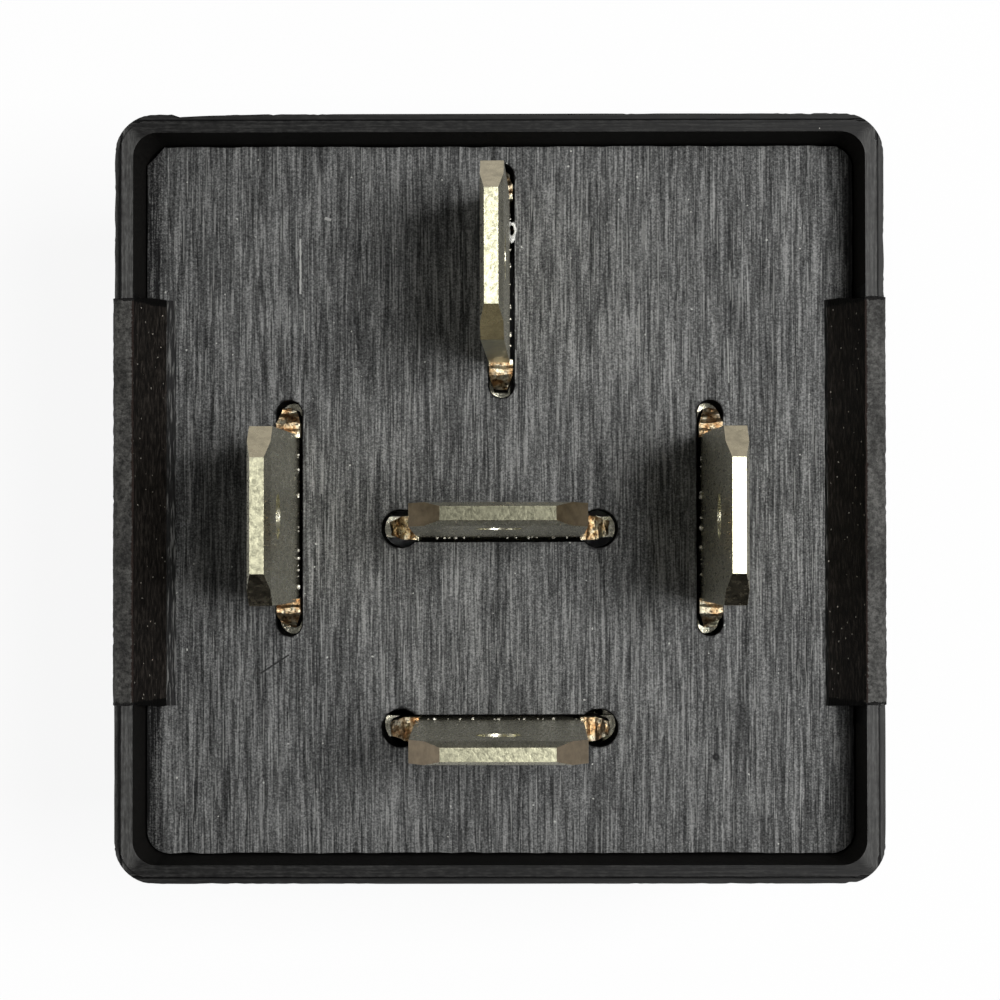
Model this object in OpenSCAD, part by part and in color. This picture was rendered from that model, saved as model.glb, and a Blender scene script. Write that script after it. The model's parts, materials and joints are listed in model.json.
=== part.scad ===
// Automotive cube relay with a change-over contact and five blade terminals.
// The relay stands on the closed end of its case, with the blades pointing up.
// Origin: centre of the closed end.  +Z runs along the blades, and the two
// folded lips of the case face -X and +X.

/* [Case] */
// Width of the square case across its open rim
case_w = 28.4; // [28:0.1:31]
// Height of the rim above the closed end
case_h = 25.5; // [25:0.1:29]
// Radius of the case's upright corners
case_corner_r = 1.5; // [1.2:0.1:2.5]
// Radius of the rounding round the closed end
case_edge_r = 1; // [0.5:0.1:1.1]
// Thickness of the side walls below the base plate
case_wall = 1.1; // [1:0.05:1.2]
// Thickness of the closed end
case_floor = 1.2; // [1:0.1:1.4]
// Thickness of the rim above the seat of the base plate
rim_wall = 0.72; // [0.6:0.02:0.8]
// Radius of the rim's inside corners
rim_corner_r = 0.9; // [0.6:0.1:1.1]
// Width of the small ledge round the outside of the rim
rim_ledge_w = 0.24; // [0.1:0.02:0.4]
// Depth of that ledge below the rim
rim_ledge_h = 0.3; // [0.1:0.05:0.6]
// Diameter of the shallow gate recess in the closed end
gate_d = 5; // [3:0.5:8]
// Depth of the gate recess
gate_depth = 0.3; // [0.1:0.05:0.5]

/* [Folded lips] */
// Length of each lip along its side of the rim
lip_len = 15; // [10:0.5:20]
// How far the foot of the -X lip reaches over the base plate
lip_reach = 0.85; // [0.4:0.05:1.2]
// How far the foot of the +X lip reaches over the base plate
wide_lip_reach = 1.05; // [0.4:0.05:1.2]
// Place of the lips' middle along Y
lip_y = -0.12; // [-0.5:0.02:0.5]
// How far the folded stretch of the rim lies below the rest
lip_drop = 0.15; // [0.05:0.05:0.4]
// Thickness of a lip where it ends on the base plate
lip_toe = 0.15; // [0.1:0.05:0.4]
// Outward bulge that the folding leaves in the wall
lip_bulge = 0.06; // [0.02:0.01:0.15]

/* [Base plate] */
// Depth of the base plate's outer face below the rim
base_recess = 2.9; // [2:0.1:3.4]
// Thickness of the base plate
base_t = 2; // [1.6:0.1:2.4]
// Clearance between the base plate and the rim, each side
base_clear = 0.05; // [0.02:0.01:0.15]
// Size of the chamfer on the base plate's keyed corner
base_key = 0.7; // [0.3:0.1:1.2]
// Width of the sloping edge along the base plate's -X side
edge_slope_w = 0.55; // [0.3:0.05:0.7]
// Fall of that edge
edge_slope_h = 0.12; // [0.05:0.01:0.3]

/* [Blades] */
// Width of a blade
blade_w = 6.3; // [5.6:0.1:6.6]
// Thickness of a blade, and of the sheet that all terminals are cut from
blade_t = 0.8; // [0.7:0.05:0.9]
// Length of a blade above the base plate
blade_len = 11.2; // [9:0.1:13]
// Narrowing of each edge of a blade towards its tip
blade_taper = 0.1; // [0.05:0.05:0.3]
// Width taken off each corner of a blade's tip
tip_chamfer_w = 1.1; // [0.5:0.1:1.6]
// Height of those corner cuts
tip_chamfer_h = 1.4; // [0.8:0.1:2]
// Thickness taken off each face at the tip
tip_bevel_t = 0.16; // [0.05:0.01:0.25]
// Height of those face bevels
tip_bevel_h = 0.7; // [0.3:0.1:1.2]
// Diameter of the detent hole
detent_d = 1.6; // [1:0.1:2]
// Distance of the detent hole's centre from the tip
detent_from_tip = 3.3; // [2.6:0.1:4.5]

/* [Staked ears and slots] */
// How far an ear stands out past the edge of its blade
ear_len = 1; // [0.7:0.05:1.1]
// Thickness of an ear at its end
ear_end_t = 0.5; // [0.3:0.05:0.65]
// Rise of an ear above the base plate
ear_rise = 0.3; // [0.2:0.05:0.6]
// Height of the ridge that the punch leaves between ear and blade
ear_ridge = 0.12; // [0.05:0.01:0.2]
// Depth of an ear's end below the base plate's face
ear_sink = 0.25; // [0.1:0.05:0.5]
// Diameter of the punched ends of the slots that run along X
cross_slot_end_d = 1.4; // [1.2:0.05:1.6]
// Gap that a slot leaves along one face of its blade
slot_gap = 0.15; // [0.05:0.01:0.25]
// Width of the shoulder that stops a terminal under the base plate
shoulder_w = 9.3; // [9:0.1:9.3]
// Height of the shoulder
shoulder_h = 0.7; // [0.5:0.05:0.8]

/* [Blade places] */
// Place of the common terminal, 30, on the Y axis
common_y = 8.3; // [8.1:0.05:8.35]
// Distance of the coil terminals, 85 and 86, from the middle
coil_term_x = 8.05; // [8:0.05:8.4]
// Place of the coil terminals along Y
coil_term_y = -0.72; // [-1:0.05:-0.3]
// Place of the normally open terminal, 87, on the Y axis
open_y = -8.75; // [-9:0.05:-8.6]
// Place of the normally closed terminal, 87a, on the Y axis
closed_y = -1.05; // [-1.4:0.05:-0.8]
// Lean of the common blade towards -X, in degrees
common_lean = 1.1; // [0:0.1:2]
// Lean of the normally closed blade towards +Y, in degrees
closed_lean = 2.1; // [0:0.1:3]
// Lean of the normally open blade towards +Y, in degrees
open_lean = 0.3; // [0:0.1:2]

/* [Coil] */
// Diameter of the iron core
core_d = 5; // [4.4:0.1:5.6]
// Place of the core on the Y axis
core_y = 1.5; // [1.4:0.05:1.6]
// Diameter of the core's pole head
pole_d = 8; // [7:0.1:9]
// Thickness of the pole head
pole_t = 0.9; // [0.7:0.05:1.1]
// Diameter of the core's spigot in the yoke
spigot_d = 3.2; // [2.6:0.1:3.8]
// Width of the square bobbin flanges
flange_w = 14.2; // [13.8:0.1:14.4]
// Thickness of the bobbin flange at the pole
pole_flange_t = 0.9; // [0.7:0.05:1.1]
// Thickness of the bobbin flange at the yoke
yoke_flange_t = 1.1; // [1:0.05:1.3]
// Wall thickness of the bobbin's tube
tube_wall = 0.7; // [0.5:0.05:0.9]
// Outer diameter of the winding
winding_d = 13.2; // [11:0.1:13.6]
// Diameter of the coil's lead wires
lead_d = 0.3; // [0.2:0.02:0.4]

/* [Yoke and armature] */
// Width of the yoke
yoke_w = 12; // [10:0.2:12.6]
// Thickness of the yoke
yoke_t = 1.5; // [1.3:0.05:1.6]
// Width of the armature
armature_w = 11; // [9:0.2:12]
// Thickness of the armature
armature_t = 1.3; // [1.1:0.05:1.5]
// Air gap left at the pole when the armature is pulled in
residual_gap = 0.05; // [0.03:0.01:0.1]
// Travel of the moving contact between the two fixed contacts
contact_gap = 0.7; // [0.4:0.05:0.9]

/* [Contacts and spring] */
// Place of the contacts on the Y axis
contact_y = -7.15; // [-7.3:0.05:-7.1]
// Diameter of the fixed contacts
fixed_contact_d = 2.8; // [2.4:0.1:3]
// Diameter of the moving contact
moving_contact_d = 2.6; // [2.2:0.1:3]
// Thickness of a contact's head
head_t = 0.5; // [0.4:0.05:0.6]
// Crown of the moving contact's faces
crown_h = 0.15; // [0.1:0.01:0.2]
// Diameter of the contacts' shanks
contact_shank_d = 1.4; // [1:0.1:1.6]
// Width of the contact spring
spring_w = 6; // [5:0.2:6.4]
// Thickness of the contact spring
spring_t = 0.3; // [0.2:0.02:0.36]
// Inner radius of the spring's bend
spring_bend_r = 0.8; // [0.7:0.05:1]
// Diameter of the rivets' shanks
rivet_d = 1.6; // [1.2:0.1:1.8]
// Thickness of the rivets' heads
rivet_head_t = 0.45; // [0.3:0.05:0.6]

/* [Hidden] */
$fn = 48;

// Over-run of a cutting shape past the face that it cuts.
cut = 1;
// Clearance of a piece that is only located by another.
loose = 0.05;
// Clearance at which two contacts count as touching.
touch = 0.03;

// Case and base plate levels.
case_half = case_w / 2;
rim_inner = case_half - rim_wall;
cavity_half = case_half - case_wall;
cavity_corner_r = case_corner_r - 0.7;
base_top = case_h - base_recess;
base_bottom = base_top - base_t;
lip_top = case_h - lip_drop;

// Inside radius of every right-angle bend in the terminals' sheet.
bend_r = 0.5;

// Ears and slots: the punched end of a slot clears the ear, and an ear is
// level for a short way before it slopes down into that end.
punch_clear = 0.3;
neck_half = blade_w / 2 + ear_len;
ear_flat = 0.45 * ear_len;
slot_w = blade_t + slot_gap;
// Face of each blade that its slot's gap lies along, as seen with the blade's
// width along X: the coil blades have it towards the middle of the relay.
common_gap = -1;
open_gap = 1;
closed_gap = -1;
// Overlap of shapes that are joined into one piece.
merge = 0.3;

// The normally closed strip, the yoke's foot and the coil under the plate.
strip_clear = 0.95;
strip_top = base_bottom - strip_clear;
strip_bottom = strip_top - blade_t;
yoke_top = strip_bottom - strip_clear;
yoke_bottom = yoke_top - yoke_t;
flange_clear = 0.85;
leg_inner_y = core_y + flange_w / 2 + flange_clear;
leg_outer_y = leg_inner_y + yoke_t;
foot_tip_y = core_y - pole_d / 2 - 0.7;
core_head_t = 0.4;
core_head_d = spigot_d + 1.2;

// The armature turns on the end of the yoke's leg, a little inside its back.
hinge_inset = 0.6;
hinge_y = leg_outer_y - hinge_inset;
leg_relief = (yoke_w - armature_w) / 2 + 0.2;
arm_len = hinge_y - contact_y;
open_angle = asin(contact_gap / arm_len);
carrier_clear = 0.3;
carrier_z = case_floor + carrier_clear;
closed_face = carrier_z + blade_t + head_t;
crown_drop = armature_t + spring_t + head_t + crown_h;
hinge_z = closed_face + touch + contact_gap + crown_drop * cos(open_angle);
pole_face = hinge_z + residual_gap;
spring_top = hinge_z - armature_t;
open_face = spring_top + head_t + crown_h + touch;
open_carrier_z = open_face + head_t;

// Bobbin and winding.
flange_corner_r = 2.5;
flange_bottom = pole_face + pole_t;
winding_bottom = flange_bottom + pole_flange_t;
winding_top = yoke_bottom - yoke_flange_t;
tube_d = core_d + 2 * (tube_wall + loose);
wing_wall = 0.8;
tail_w = 2.4;
wire_turns = 3;
wire_z = winding_top - 1;
tail_end = wire_z - wire_turns * lead_d;

// Armature, spring and rivets.
land = 0.4;
armature_end_y = contact_y + moving_contact_d / 2 + 1.05;
spring_end_y = contact_y - moving_contact_d / 2 - land;
tongue_w = moving_contact_d + 3 * land;
armature_rivet_x = spring_w / 3;
armature_rivet_y = hinge_y - 3.4;
spring_foot_top = yoke_bottom - 1.5;
spring_rivet_z = [hinge_z + 2 * rivet_d, spring_foot_top - rivet_d];

// Points of an arc, in equal steps of its angle.
function arc_points(centre, r, from, to, steps = 8) =
    [for (i = [0:steps]) let (a = from + (to - from) * i / steps)
        centre + r * [cos(a), sin(a)]];

// Outline of sheet bent through a right angle.  The upright leg is centred on
// u = 0 and reaches up to `top`; the foot lies on v = `level` and ends at -out.
function bent_sheet(level, top, out) =
    let (c = [-blade_t / 2 - bend_r, level + blade_t + bend_r])
    concat(
        [[blade_t / 2, top]],
        arc_points(c, bend_r + blade_t, 0, -90),
        [[-out, level], [-out, level + blade_t]],
        arc_points(c, bend_r, -90, 0),
        [[-blade_t / 2, top]]
    );

function mirrored(points) = [for (p = points) [-p[0], p[1]]];

function shifted(points, du) = [for (p = points) [p[0] + du, p[1]]];

// Square plan with round corners, made of squares and circles.
module rounded_plan(w, r) {
    square([w, w - 2 * r], center = true);
    square([w - 2 * r, w], center = true);
    for (x = [-1, 1], y = [-1, 1])
        translate([x, y] * (w / 2 - r)) circle(r);
}

// A Y-Z outline run along X, and an X-Z outline run along Y.
module run_x(points, from, to) {
    translate([from, 0, 0]) rotate([90, 0, 90])
        linear_extrude(to - from) polygon(points);
}

module run_y(points, from, to) {
    translate([0, to, 0]) rotate([90, 0, 0])
        linear_extrude(to - from) polygon(points);
}

// A block with upright round corners and a rounded lower rim, made of four
// turned corners, four extruded sides and a middle.
module rounded_block(w, h, r, edge) {
    middle = w / 2 - r;
    side = concat(
        [[0, 0]],
        arc_points([r - edge, edge], edge, -90, 0),
        [[r, h], [0, h]]
    );
    translate([-middle, -middle, 0]) cube([2 * middle, 2 * middle, h]);
    for (turn = [0:90:270]) rotate([0, 0, turn]) {
        translate([middle, middle, 0]) rotate_extrude(angle = 90) polygon(side);
        translate([middle, -middle, 0]) rotate([90, 0, 180]) mirror([1, 0, 0])
            linear_extrude(2 * middle) polygon(side);
    }
}

// One folded lip, on the +X side: the rim's wall laid over in a hollow curve
// whose toe grips the edge of the base plate.
module folded_lip(reach) {
    toe_x = rim_inner - reach;
    // The hollow face is a curve from the rim's inner edge to the toe, pulled
    // towards the elbow between them.
    crest = [rim_inner + 0.1, lip_top];
    elbow = [toe_x + 0.4 * reach, base_top + 0.25 * (lip_top - base_top)];
    toe = [toe_x, base_top + lip_toe];
    steps = 8;
    face = [for (i = [0:steps]) let (t = i / steps)
        (1 - t) * (1 - t) * crest + 2 * t * (1 - t) * elbow + t * t * toe];
    // The part of the section that lies inside the wall
    wall_root = base_top - base_t / 3;
    wall_middle = case_half - rim_wall / 2;
    section = concat(
        [
            [wall_middle, wall_root],
            [case_half, wall_root],
            [case_half + lip_bulge, lip_top - base_recess / 3],
            [case_half + lip_bulge, lip_top - lip_drop],
            [case_half - lip_bulge, lip_top]
        ],
        face,
        [[toe_x, base_top], [wall_middle, base_top]]
    );
    run_y(section, -lip_len / 2, lip_len / 2);
}

module case() {
    color("#262523") {
        difference() {
            rounded_block(case_w, case_h, case_corner_r, case_edge_r);
            // Room for the mechanism
            translate([0, 0, case_floor]) linear_extrude(base_bottom - case_floor + cut)
                rounded_plan(2 * cavity_half, cavity_corner_r);
            // Seat of the base plate and the recess above it
            translate([0, 0, base_bottom]) linear_extrude(base_t + base_recess + cut)
                rounded_plan(2 * rim_inner, rim_corner_r);
            // Ledge round the outside of the rim
            translate([0, 0, case_h - rim_ledge_h]) linear_extrude(rim_ledge_h + cut)
                difference() {
                    square(case_w + 2 * cut, center = true);
                    rounded_plan(case_w - 2 * rim_ledge_w, case_corner_r - rim_ledge_w);
                }
            // Stretches of the rim that were folded over
            for (x = [-1, 1])
                translate([x * case_half, lip_y, lip_top + cut])
                    cube([2 * rim_wall + cut, lip_len, 2 * cut], center = true);
            // Gate recess
            translate([0, 0, -cut]) cylinder(d = gate_d, h = gate_depth + cut);
        }
        translate([0, lip_y, 0]) {
            folded_lip(wide_lip_reach);
            rotate([0, 0, 180]) folded_lip(lip_reach);
        }
    }
}

// Slot of one terminal: straight, with a round end for the staking punch at
// each end.  `side` is the face of the blade that the gap lies along.
module terminal_slot(side, end_d) {
    end_x = neck_half + punch_clear - end_d / 2;
    translate([0, side * slot_gap / 2]) {
        square([2 * end_x, slot_w], center = true);
        for (x = [-1, 1]) translate([x * end_x, 0]) circle(d = end_d);
    }
}

module base_plate() {
    w = 2 * (rim_inner - base_clear);
    h = w / 2;
    slope = edge_slope_h / edge_slope_w;
    color("#474745") difference() {
        translate([0, 0, base_bottom]) linear_extrude(base_t) difference() {
            rounded_plan(w, rim_corner_r - base_clear);
            // Keyed corner
            polygon([[-h - cut, h - base_key - cut], [-h + base_key + cut, h + cut],
                     [-h - cut, h + cut]]);
            translate([0, common_y]) rotate(90) terminal_slot(common_gap, slot_w);
            translate([-coil_term_x, coil_term_y]) rotate(90) terminal_slot(-1, slot_w);
            translate([coil_term_x, coil_term_y]) rotate(90) terminal_slot(1, slot_w);
            translate([0, open_y]) terminal_slot(open_gap, cross_slot_end_d);
            translate([0, closed_y]) terminal_slot(closed_gap, cross_slot_end_d);
        }
        // Sloping edge
        run_y([
            [-h + edge_slope_w, base_top], [-h - cut, base_top - edge_slope_h - cut * slope],
            [-h - cut, base_top + cut], [-h + edge_slope_w, base_top + cut]
        ], -h - cut, h + cut);
    }
}

// What all five terminals share, with the blade's width along X: the blade,
// the neck in the slot, the two staked ears and the shoulder under the plate.
// The ears were spread over the gap on one `side` of the blade.
module blade_stub(lean, side) {
    tip = base_top + blade_len;
    tip_off = blade_len * tan(lean);
    bevel_off = (blade_len - tip_bevel_h) * tan(lean);
    half_t = blade_t / 2;
    half_w = blade_w / 2;
    thickness = [
        [-half_t, base_bottom - merge], [half_t, base_bottom - merge],
        [half_t, base_top], [half_t + bevel_off, tip - tip_bevel_h],
        [half_t - tip_bevel_t + tip_off, tip], [tip_bevel_t - half_t + tip_off, tip],
        [bevel_off - half_t, tip - tip_bevel_h], [-half_t, base_top]
    ];
    tip_half_w = half_w - blade_taper;
    width = [
        [-half_w, base_bottom - merge], [half_w, base_bottom - merge], [half_w, base_top],
        [tip_half_w, tip - tip_chamfer_h], [tip_half_w - tip_chamfer_w, tip],
        [tip_chamfer_w - tip_half_w, tip], [-tip_half_w, tip - tip_chamfer_h],
        [-half_w, base_top]
    ];
    difference() {
        intersection() {
            run_x(thickness, -half_w, half_w);
            run_y(width, -2, 2);
        }
        translate([0, 0, tip - detent_from_tip]) rotate([90, 0, 0])
            cylinder(d = detent_d, h = 4, center = true);
    }
    // Neck and ears
    ear_top = base_top + ear_rise;
    inner = half_w - blade_taper;
    ridge = half_w + ear_ridge;
    ear_half_t = (slot_w - loose) / 2;
    for (end = [-1, 1]) intersection() {
        translate([0, side * (ear_half_t - half_t), base_bottom - merge])
            linear_extrude(base_t + merge + ear_rise + ear_ridge) polygon([
                [0, -ear_half_t], [end * (half_w + ear_flat), -ear_half_t],
                [end * neck_half, -ear_end_t / 2], [end * neck_half, ear_end_t / 2],
                [end * (half_w + ear_flat), ear_half_t], [0, ear_half_t]
            ]);
        run_y([
            [end * inner, base_bottom - merge], [end * neck_half, base_bottom - merge],
            [end * neck_half, base_top - ear_sink], [end * (half_w + ear_flat), ear_top],
            [end * (ridge + ear_ridge), ear_top], [end * ridge, ear_top + ear_ridge],
            [end * inner, ear_top + ear_ridge]
        ], -slot_w, slot_w);
    }
    translate([-half_w, -half_t, base_bottom - merge]) cube([blade_w, blade_t, 2 * merge]);
    translate([-shoulder_w / 2, -half_t, base_bottom - shoulder_h])
        cube([shoulder_w, blade_t, shoulder_h]);
}

// Common terminal: bent over under the plate and riveted to the yoke's foot.
foot_rivet_x = -3.3;
foot_out = rivet_d + 0.3 - foot_rivet_x;
foot_edge_y = common_y - blade_w / 2;

module terminal_30() {
    color("#b9b5a6") difference() {
        union() {
            translate([0, common_y, 0]) rotate([0, 0, 90]) blade_stub(common_lean, common_gap);
            run_y(bent_sheet(yoke_top, base_bottom - shoulder_h / 2, foot_out),
                  foot_edge_y, leg_outer_y - loose);
        }
        translate([foot_rivet_x, common_y, yoke_top - cut])
            cylinder(d = rivet_d, h = blade_t + 2 * cut);
    }
}

// Coil terminal: its tail runs down through the bobbin's wing.
module coil_terminal(side) {
    color("#b9b5a6") translate([side * coil_term_x, coil_term_y, 0]) rotate([0, 0, 90]) {
        blade_stub(0, side);
        translate([-tail_w / 2, -blade_t / 2, tail_end])
            cube([tail_w, blade_t, base_bottom - tail_end]);
    }
}

module terminal_85() coil_terminal(-1);
module terminal_86() coil_terminal(1);

// Normally open terminal: its riser ends in a foot that carries the contact.
open_riser_half = 2.5;
open_foot_y = contact_y + fixed_contact_d / 2;

module terminal_87() {
    riser = shifted(mirrored(bent_sheet(open_carrier_z, base_bottom - shoulder_h / 2,
                                        open_foot_y - open_y)), open_y);
    color("#b9b5a6") difference() {
        union() {
            translate([0, open_y, 0]) blade_stub(open_lean, open_gap);
            run_x(riser, -open_riser_half, open_riser_half);
        }
        translate([0, contact_y, open_carrier_z - cut])
            cylinder(d = contact_shank_d, h = blade_t + 2 * cut);
    }
}

// Normally closed terminal: a strip under the plate leads past terminal 87 to
// a riser, whose foot carries the contact on the far side of the spring.
riser_gap = 0.85;
riser_w = 3;
riser_x = blade_w / 2 + riser_gap;
riser_y = open_y - blade_t - 2 * riser_gap;
strip_turn_y = open_y + blade_t / 2 + 1.2;
strip_bend_y = closed_y - blade_t / 2 - bend_r - 2.2;

module terminal_87a() {
    bend = shifted(bent_sheet(strip_bottom, base_bottom - shoulder_h / 2,
                              closed_y - strip_bend_y), closed_y);
    // The riser with a bend at its top, towards +Y, and one at its foot
    top_c = [riser_y + blade_t / 2 + bend_r, strip_bottom - bend_r];
    low_c = [riser_y + blade_t / 2 + bend_r, carrier_z + blade_t + bend_r];
    riser = concat(
        arc_points(top_c, bend_r, 90, 180),
        arc_points(low_c, bend_r, 180, 270),
        [[contact_y, carrier_z + blade_t], [contact_y, carrier_z]],
        arc_points(low_c, bend_r + blade_t, 270, 180),
        arc_points(top_c, bend_r + blade_t, 180, 90),
        [[strip_turn_y, strip_top], [strip_turn_y, strip_bottom]]
    );
    foot_far = -fixed_contact_d / 2 - land;
    foot_near_y = riser_y + blade_t / 2 + bend_r;
    color("#b9b5a6") difference() {
        union() {
            translate([0, closed_y, 0]) blade_stub(closed_lean, closed_gap);
            run_x(bend, -blade_w / 2, blade_w / 2);
            translate([0, 0, strip_bottom]) linear_extrude(blade_t) polygon([
                [-blade_w / 2, strip_bend_y], [blade_w / 2, strip_bend_y],
                [riser_x + riser_w, strip_turn_y + 1], [riser_x + riser_w, strip_turn_y],
                [riser_x, strip_turn_y]
            ]);
            run_x(riser, riser_x, riser_x + riser_w);
            translate([0, 0, carrier_z]) linear_extrude(blade_t) polygon([
                [riser_x + riser_w, foot_near_y], [riser_x + riser_w, contact_y],
                [riser_x, open_foot_y], [foot_far, open_foot_y],
                [foot_far, contact_y - fixed_contact_d / 2],
                [riser_x - 1.5, contact_y - fixed_contact_d / 2],
                [riser_x, foot_near_y]
            ]);
        }
        translate([0, contact_y, carrier_z - cut])
            cylinder(d = contact_shank_d, h = blade_t + 2 * cut);
    }
}

// Yoke: an iron angle.  The core is riveted into its foot, and the armature
// turns on the end of its leg.
module yoke() {
    c = [leg_outer_y - yoke_t, yoke_top - yoke_t];
    angle = concat(
        [[leg_inner_y, pole_face], [leg_outer_y, pole_face]],
        arc_points(c, yoke_t, 0, 90),
        [[foot_tip_y, yoke_top], [foot_tip_y, yoke_bottom], [leg_inner_y, yoke_bottom]]
    );
    color("#8d9094") difference() {
        run_x(angle, -yoke_w / 2, yoke_w / 2);
        translate([0, core_y, yoke_bottom - cut]) cylinder(d = spigot_d, h = yoke_t + 2 * cut);
        translate([foot_rivet_x, common_y, yoke_bottom - cut])
            cylinder(d = rivet_d, h = yoke_t + 2 * cut);
        for (z = spring_rivet_z) translate([0, leg_outer_y + cut, z]) rotate([90, 0, 0])
            cylinder(d = rivet_d, h = yoke_t + 2 * cut);
        // The leg is narrower than the armature where they meet
        for (x = [-1, 1]) translate([x * yoke_w / 2, leg_outer_y, pole_face])
            cube([2 * leg_relief, 2 * yoke_t + cut, 2 * yoke_t], center = true);
    }
}

// Core: one turned piece with its pole head, its spigot and the riveted end.
module core() {
    color("#9a9da1") translate([0, core_y, 0]) {
        translate([0, 0, pole_face]) cylinder(d = pole_d, h = pole_t);
        translate([0, 0, pole_face]) cylinder(d = core_d, h = yoke_bottom - pole_face);
        translate([0, 0, yoke_bottom - merge])
            cylinder(d = spigot_d, h = yoke_t + merge + core_head_t / 2);
        translate([0, 0, yoke_top]) cylinder(d = core_head_d, h = core_head_t);
    }
}

// Bobbin: a tube between two flanges.  The flange at the yoke has a wing on
// each side that holds the tail of a coil terminal.
module bobbin() {
    wing_x = coil_term_x + blade_t / 2 + wing_wall;
    wing_y = coil_term_y - tail_w / 2 - wing_wall;
    color("#e9e3d2") difference() {
        union() {
            translate([0, core_y, flange_bottom]) linear_extrude(pole_flange_t)
                rounded_plan(flange_w, flange_corner_r);
            translate([0, core_y, flange_bottom])
                cylinder(d = tube_d, h = yoke_bottom - flange_bottom);
            translate([0, core_y, winding_top]) linear_extrude(yoke_flange_t)
                rounded_plan(flange_w, flange_corner_r);
            translate([-wing_x, wing_y, winding_top])
                cube([2 * wing_x, tail_w + 2 * wing_wall, yoke_flange_t]);
        }
        translate([0, core_y, flange_bottom - cut])
            cylinder(d = core_d + 2 * loose, h = yoke_bottom - flange_bottom + 2 * cut);
        for (x = [-1, 1]) translate([x * coil_term_x, coil_term_y, winding_top])
            cube([blade_t + 2 * loose, tail_w + 2 * loose, 4], center = true);
    }
}

module coil_winding() {
    color("#a8642e") translate([0, core_y, winding_bottom]) difference() {
        cylinder(d = winding_d, h = winding_top - winding_bottom);
        translate([0, 0, -cut]) cylinder(d = tube_d, h = winding_top - winding_bottom + 2 * cut);
    }
}

// Lead: from the winding's outside to its terminal's tail, wrapped round it.
module coil_lead(side) {
    wrap = [blade_t + 2 * lead_d, tail_w + 2 * lead_d];
    run_y0 = coil_term_y - tail_w / 2 - lead_d / 2;
    start_x = sqrt(pow(winding_d / 2, 2) - pow(run_y0 - core_y, 2));
    color("#b06a32") {
        translate([side * coil_term_x, coil_term_y, wire_z - wire_turns * lead_d / 2])
            linear_extrude(wire_turns * lead_d) difference() {
                square(wrap, center = true);
                square([blade_t, tail_w], center = true);
            }
        translate([side * start_x, run_y0, wire_z]) rotate([0, side * 90, 0])
            cylinder(d = lead_d, h = coil_term_x - start_x);
    }
}

module coil_lead_85() coil_lead(-1);
module coil_lead_86() coil_lead(1);

// Rivet that holds the common terminal to the yoke, flush inside the yoke.
module terminal_rivet() {
    color("#c9b27a") translate([foot_rivet_x, common_y, 0]) {
        translate([0, 0, yoke_bottom]) cylinder(d = rivet_d, h = yoke_t + blade_t + rivet_head_t / 2);
        translate([0, 0, yoke_top + blade_t]) cylinder(d = 2 * rivet_d, h = rivet_head_t);
    }
}

// Rivets that hold the spring to the back of the yoke's leg.
module spring_rivets() {
    back = leg_outer_y + spring_t;
    color("#c9b27a") for (z = spring_rivet_z) translate([0, back, z]) rotate([90, 0, 0]) {
        translate([0, 0, -rivet_head_t]) cylinder(d = 1.7 * rivet_d, h = rivet_head_t);
        translate([0, 0, -rivet_head_t / 2])
            cylinder(d = rivet_d, h = rivet_head_t / 2 + spring_t + yoke_t);
    }
}

// The moving pieces are drawn pulled in, and turned back to where they rest.
module at_rest() {
    translate([0, hinge_y, hinge_z]) rotate([open_angle, 0, 0])
        translate([0, -hinge_y, -hinge_z]) children();
}

module armature() {
    nose = 1.6;
    lead_in = 0.3;
    heel = 0.4;
    side = [
        [hinge_y, hinge_z], [armature_end_y, hinge_z],
        [armature_end_y, spring_top + lead_in], [armature_end_y + lead_in, spring_top],
        [hinge_y - heel, spring_top], [hinge_y, spring_top + heel]
    ];
    color("#9a9da1") at_rest() difference() {
        run_x(side, -armature_w / 2, armature_w / 2);
        for (x = [-1, 1]) {
            translate([x * armature_rivet_x, armature_rivet_y, spring_top - cut])
                cylinder(d = rivet_d, h = armature_t + 2 * cut);
            // Cut corners at the free end
            translate([x * armature_w / 2, armature_end_y, spring_top]) rotate([0, 0, 45])
                cube([nose, nose, 4 * armature_t], center = true);
        }
    }
}

// Rivets that hold the spring under the armature, flush at the pole's side.
module armature_rivets() {
    color("#c9b27a") at_rest() for (x = [-1, 1])
        translate([x * armature_rivet_x, armature_rivet_y, 0]) {
            translate([0, 0, spring_top - spring_t - rivet_head_t])
                cylinder(d = 1.6 * rivet_d, h = rivet_head_t);
            translate([0, 0, spring_top - spring_t - rivet_head_t / 2])
                cylinder(d = rivet_d, h = armature_t + spring_t + rivet_head_t / 2);
        }
}

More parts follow.
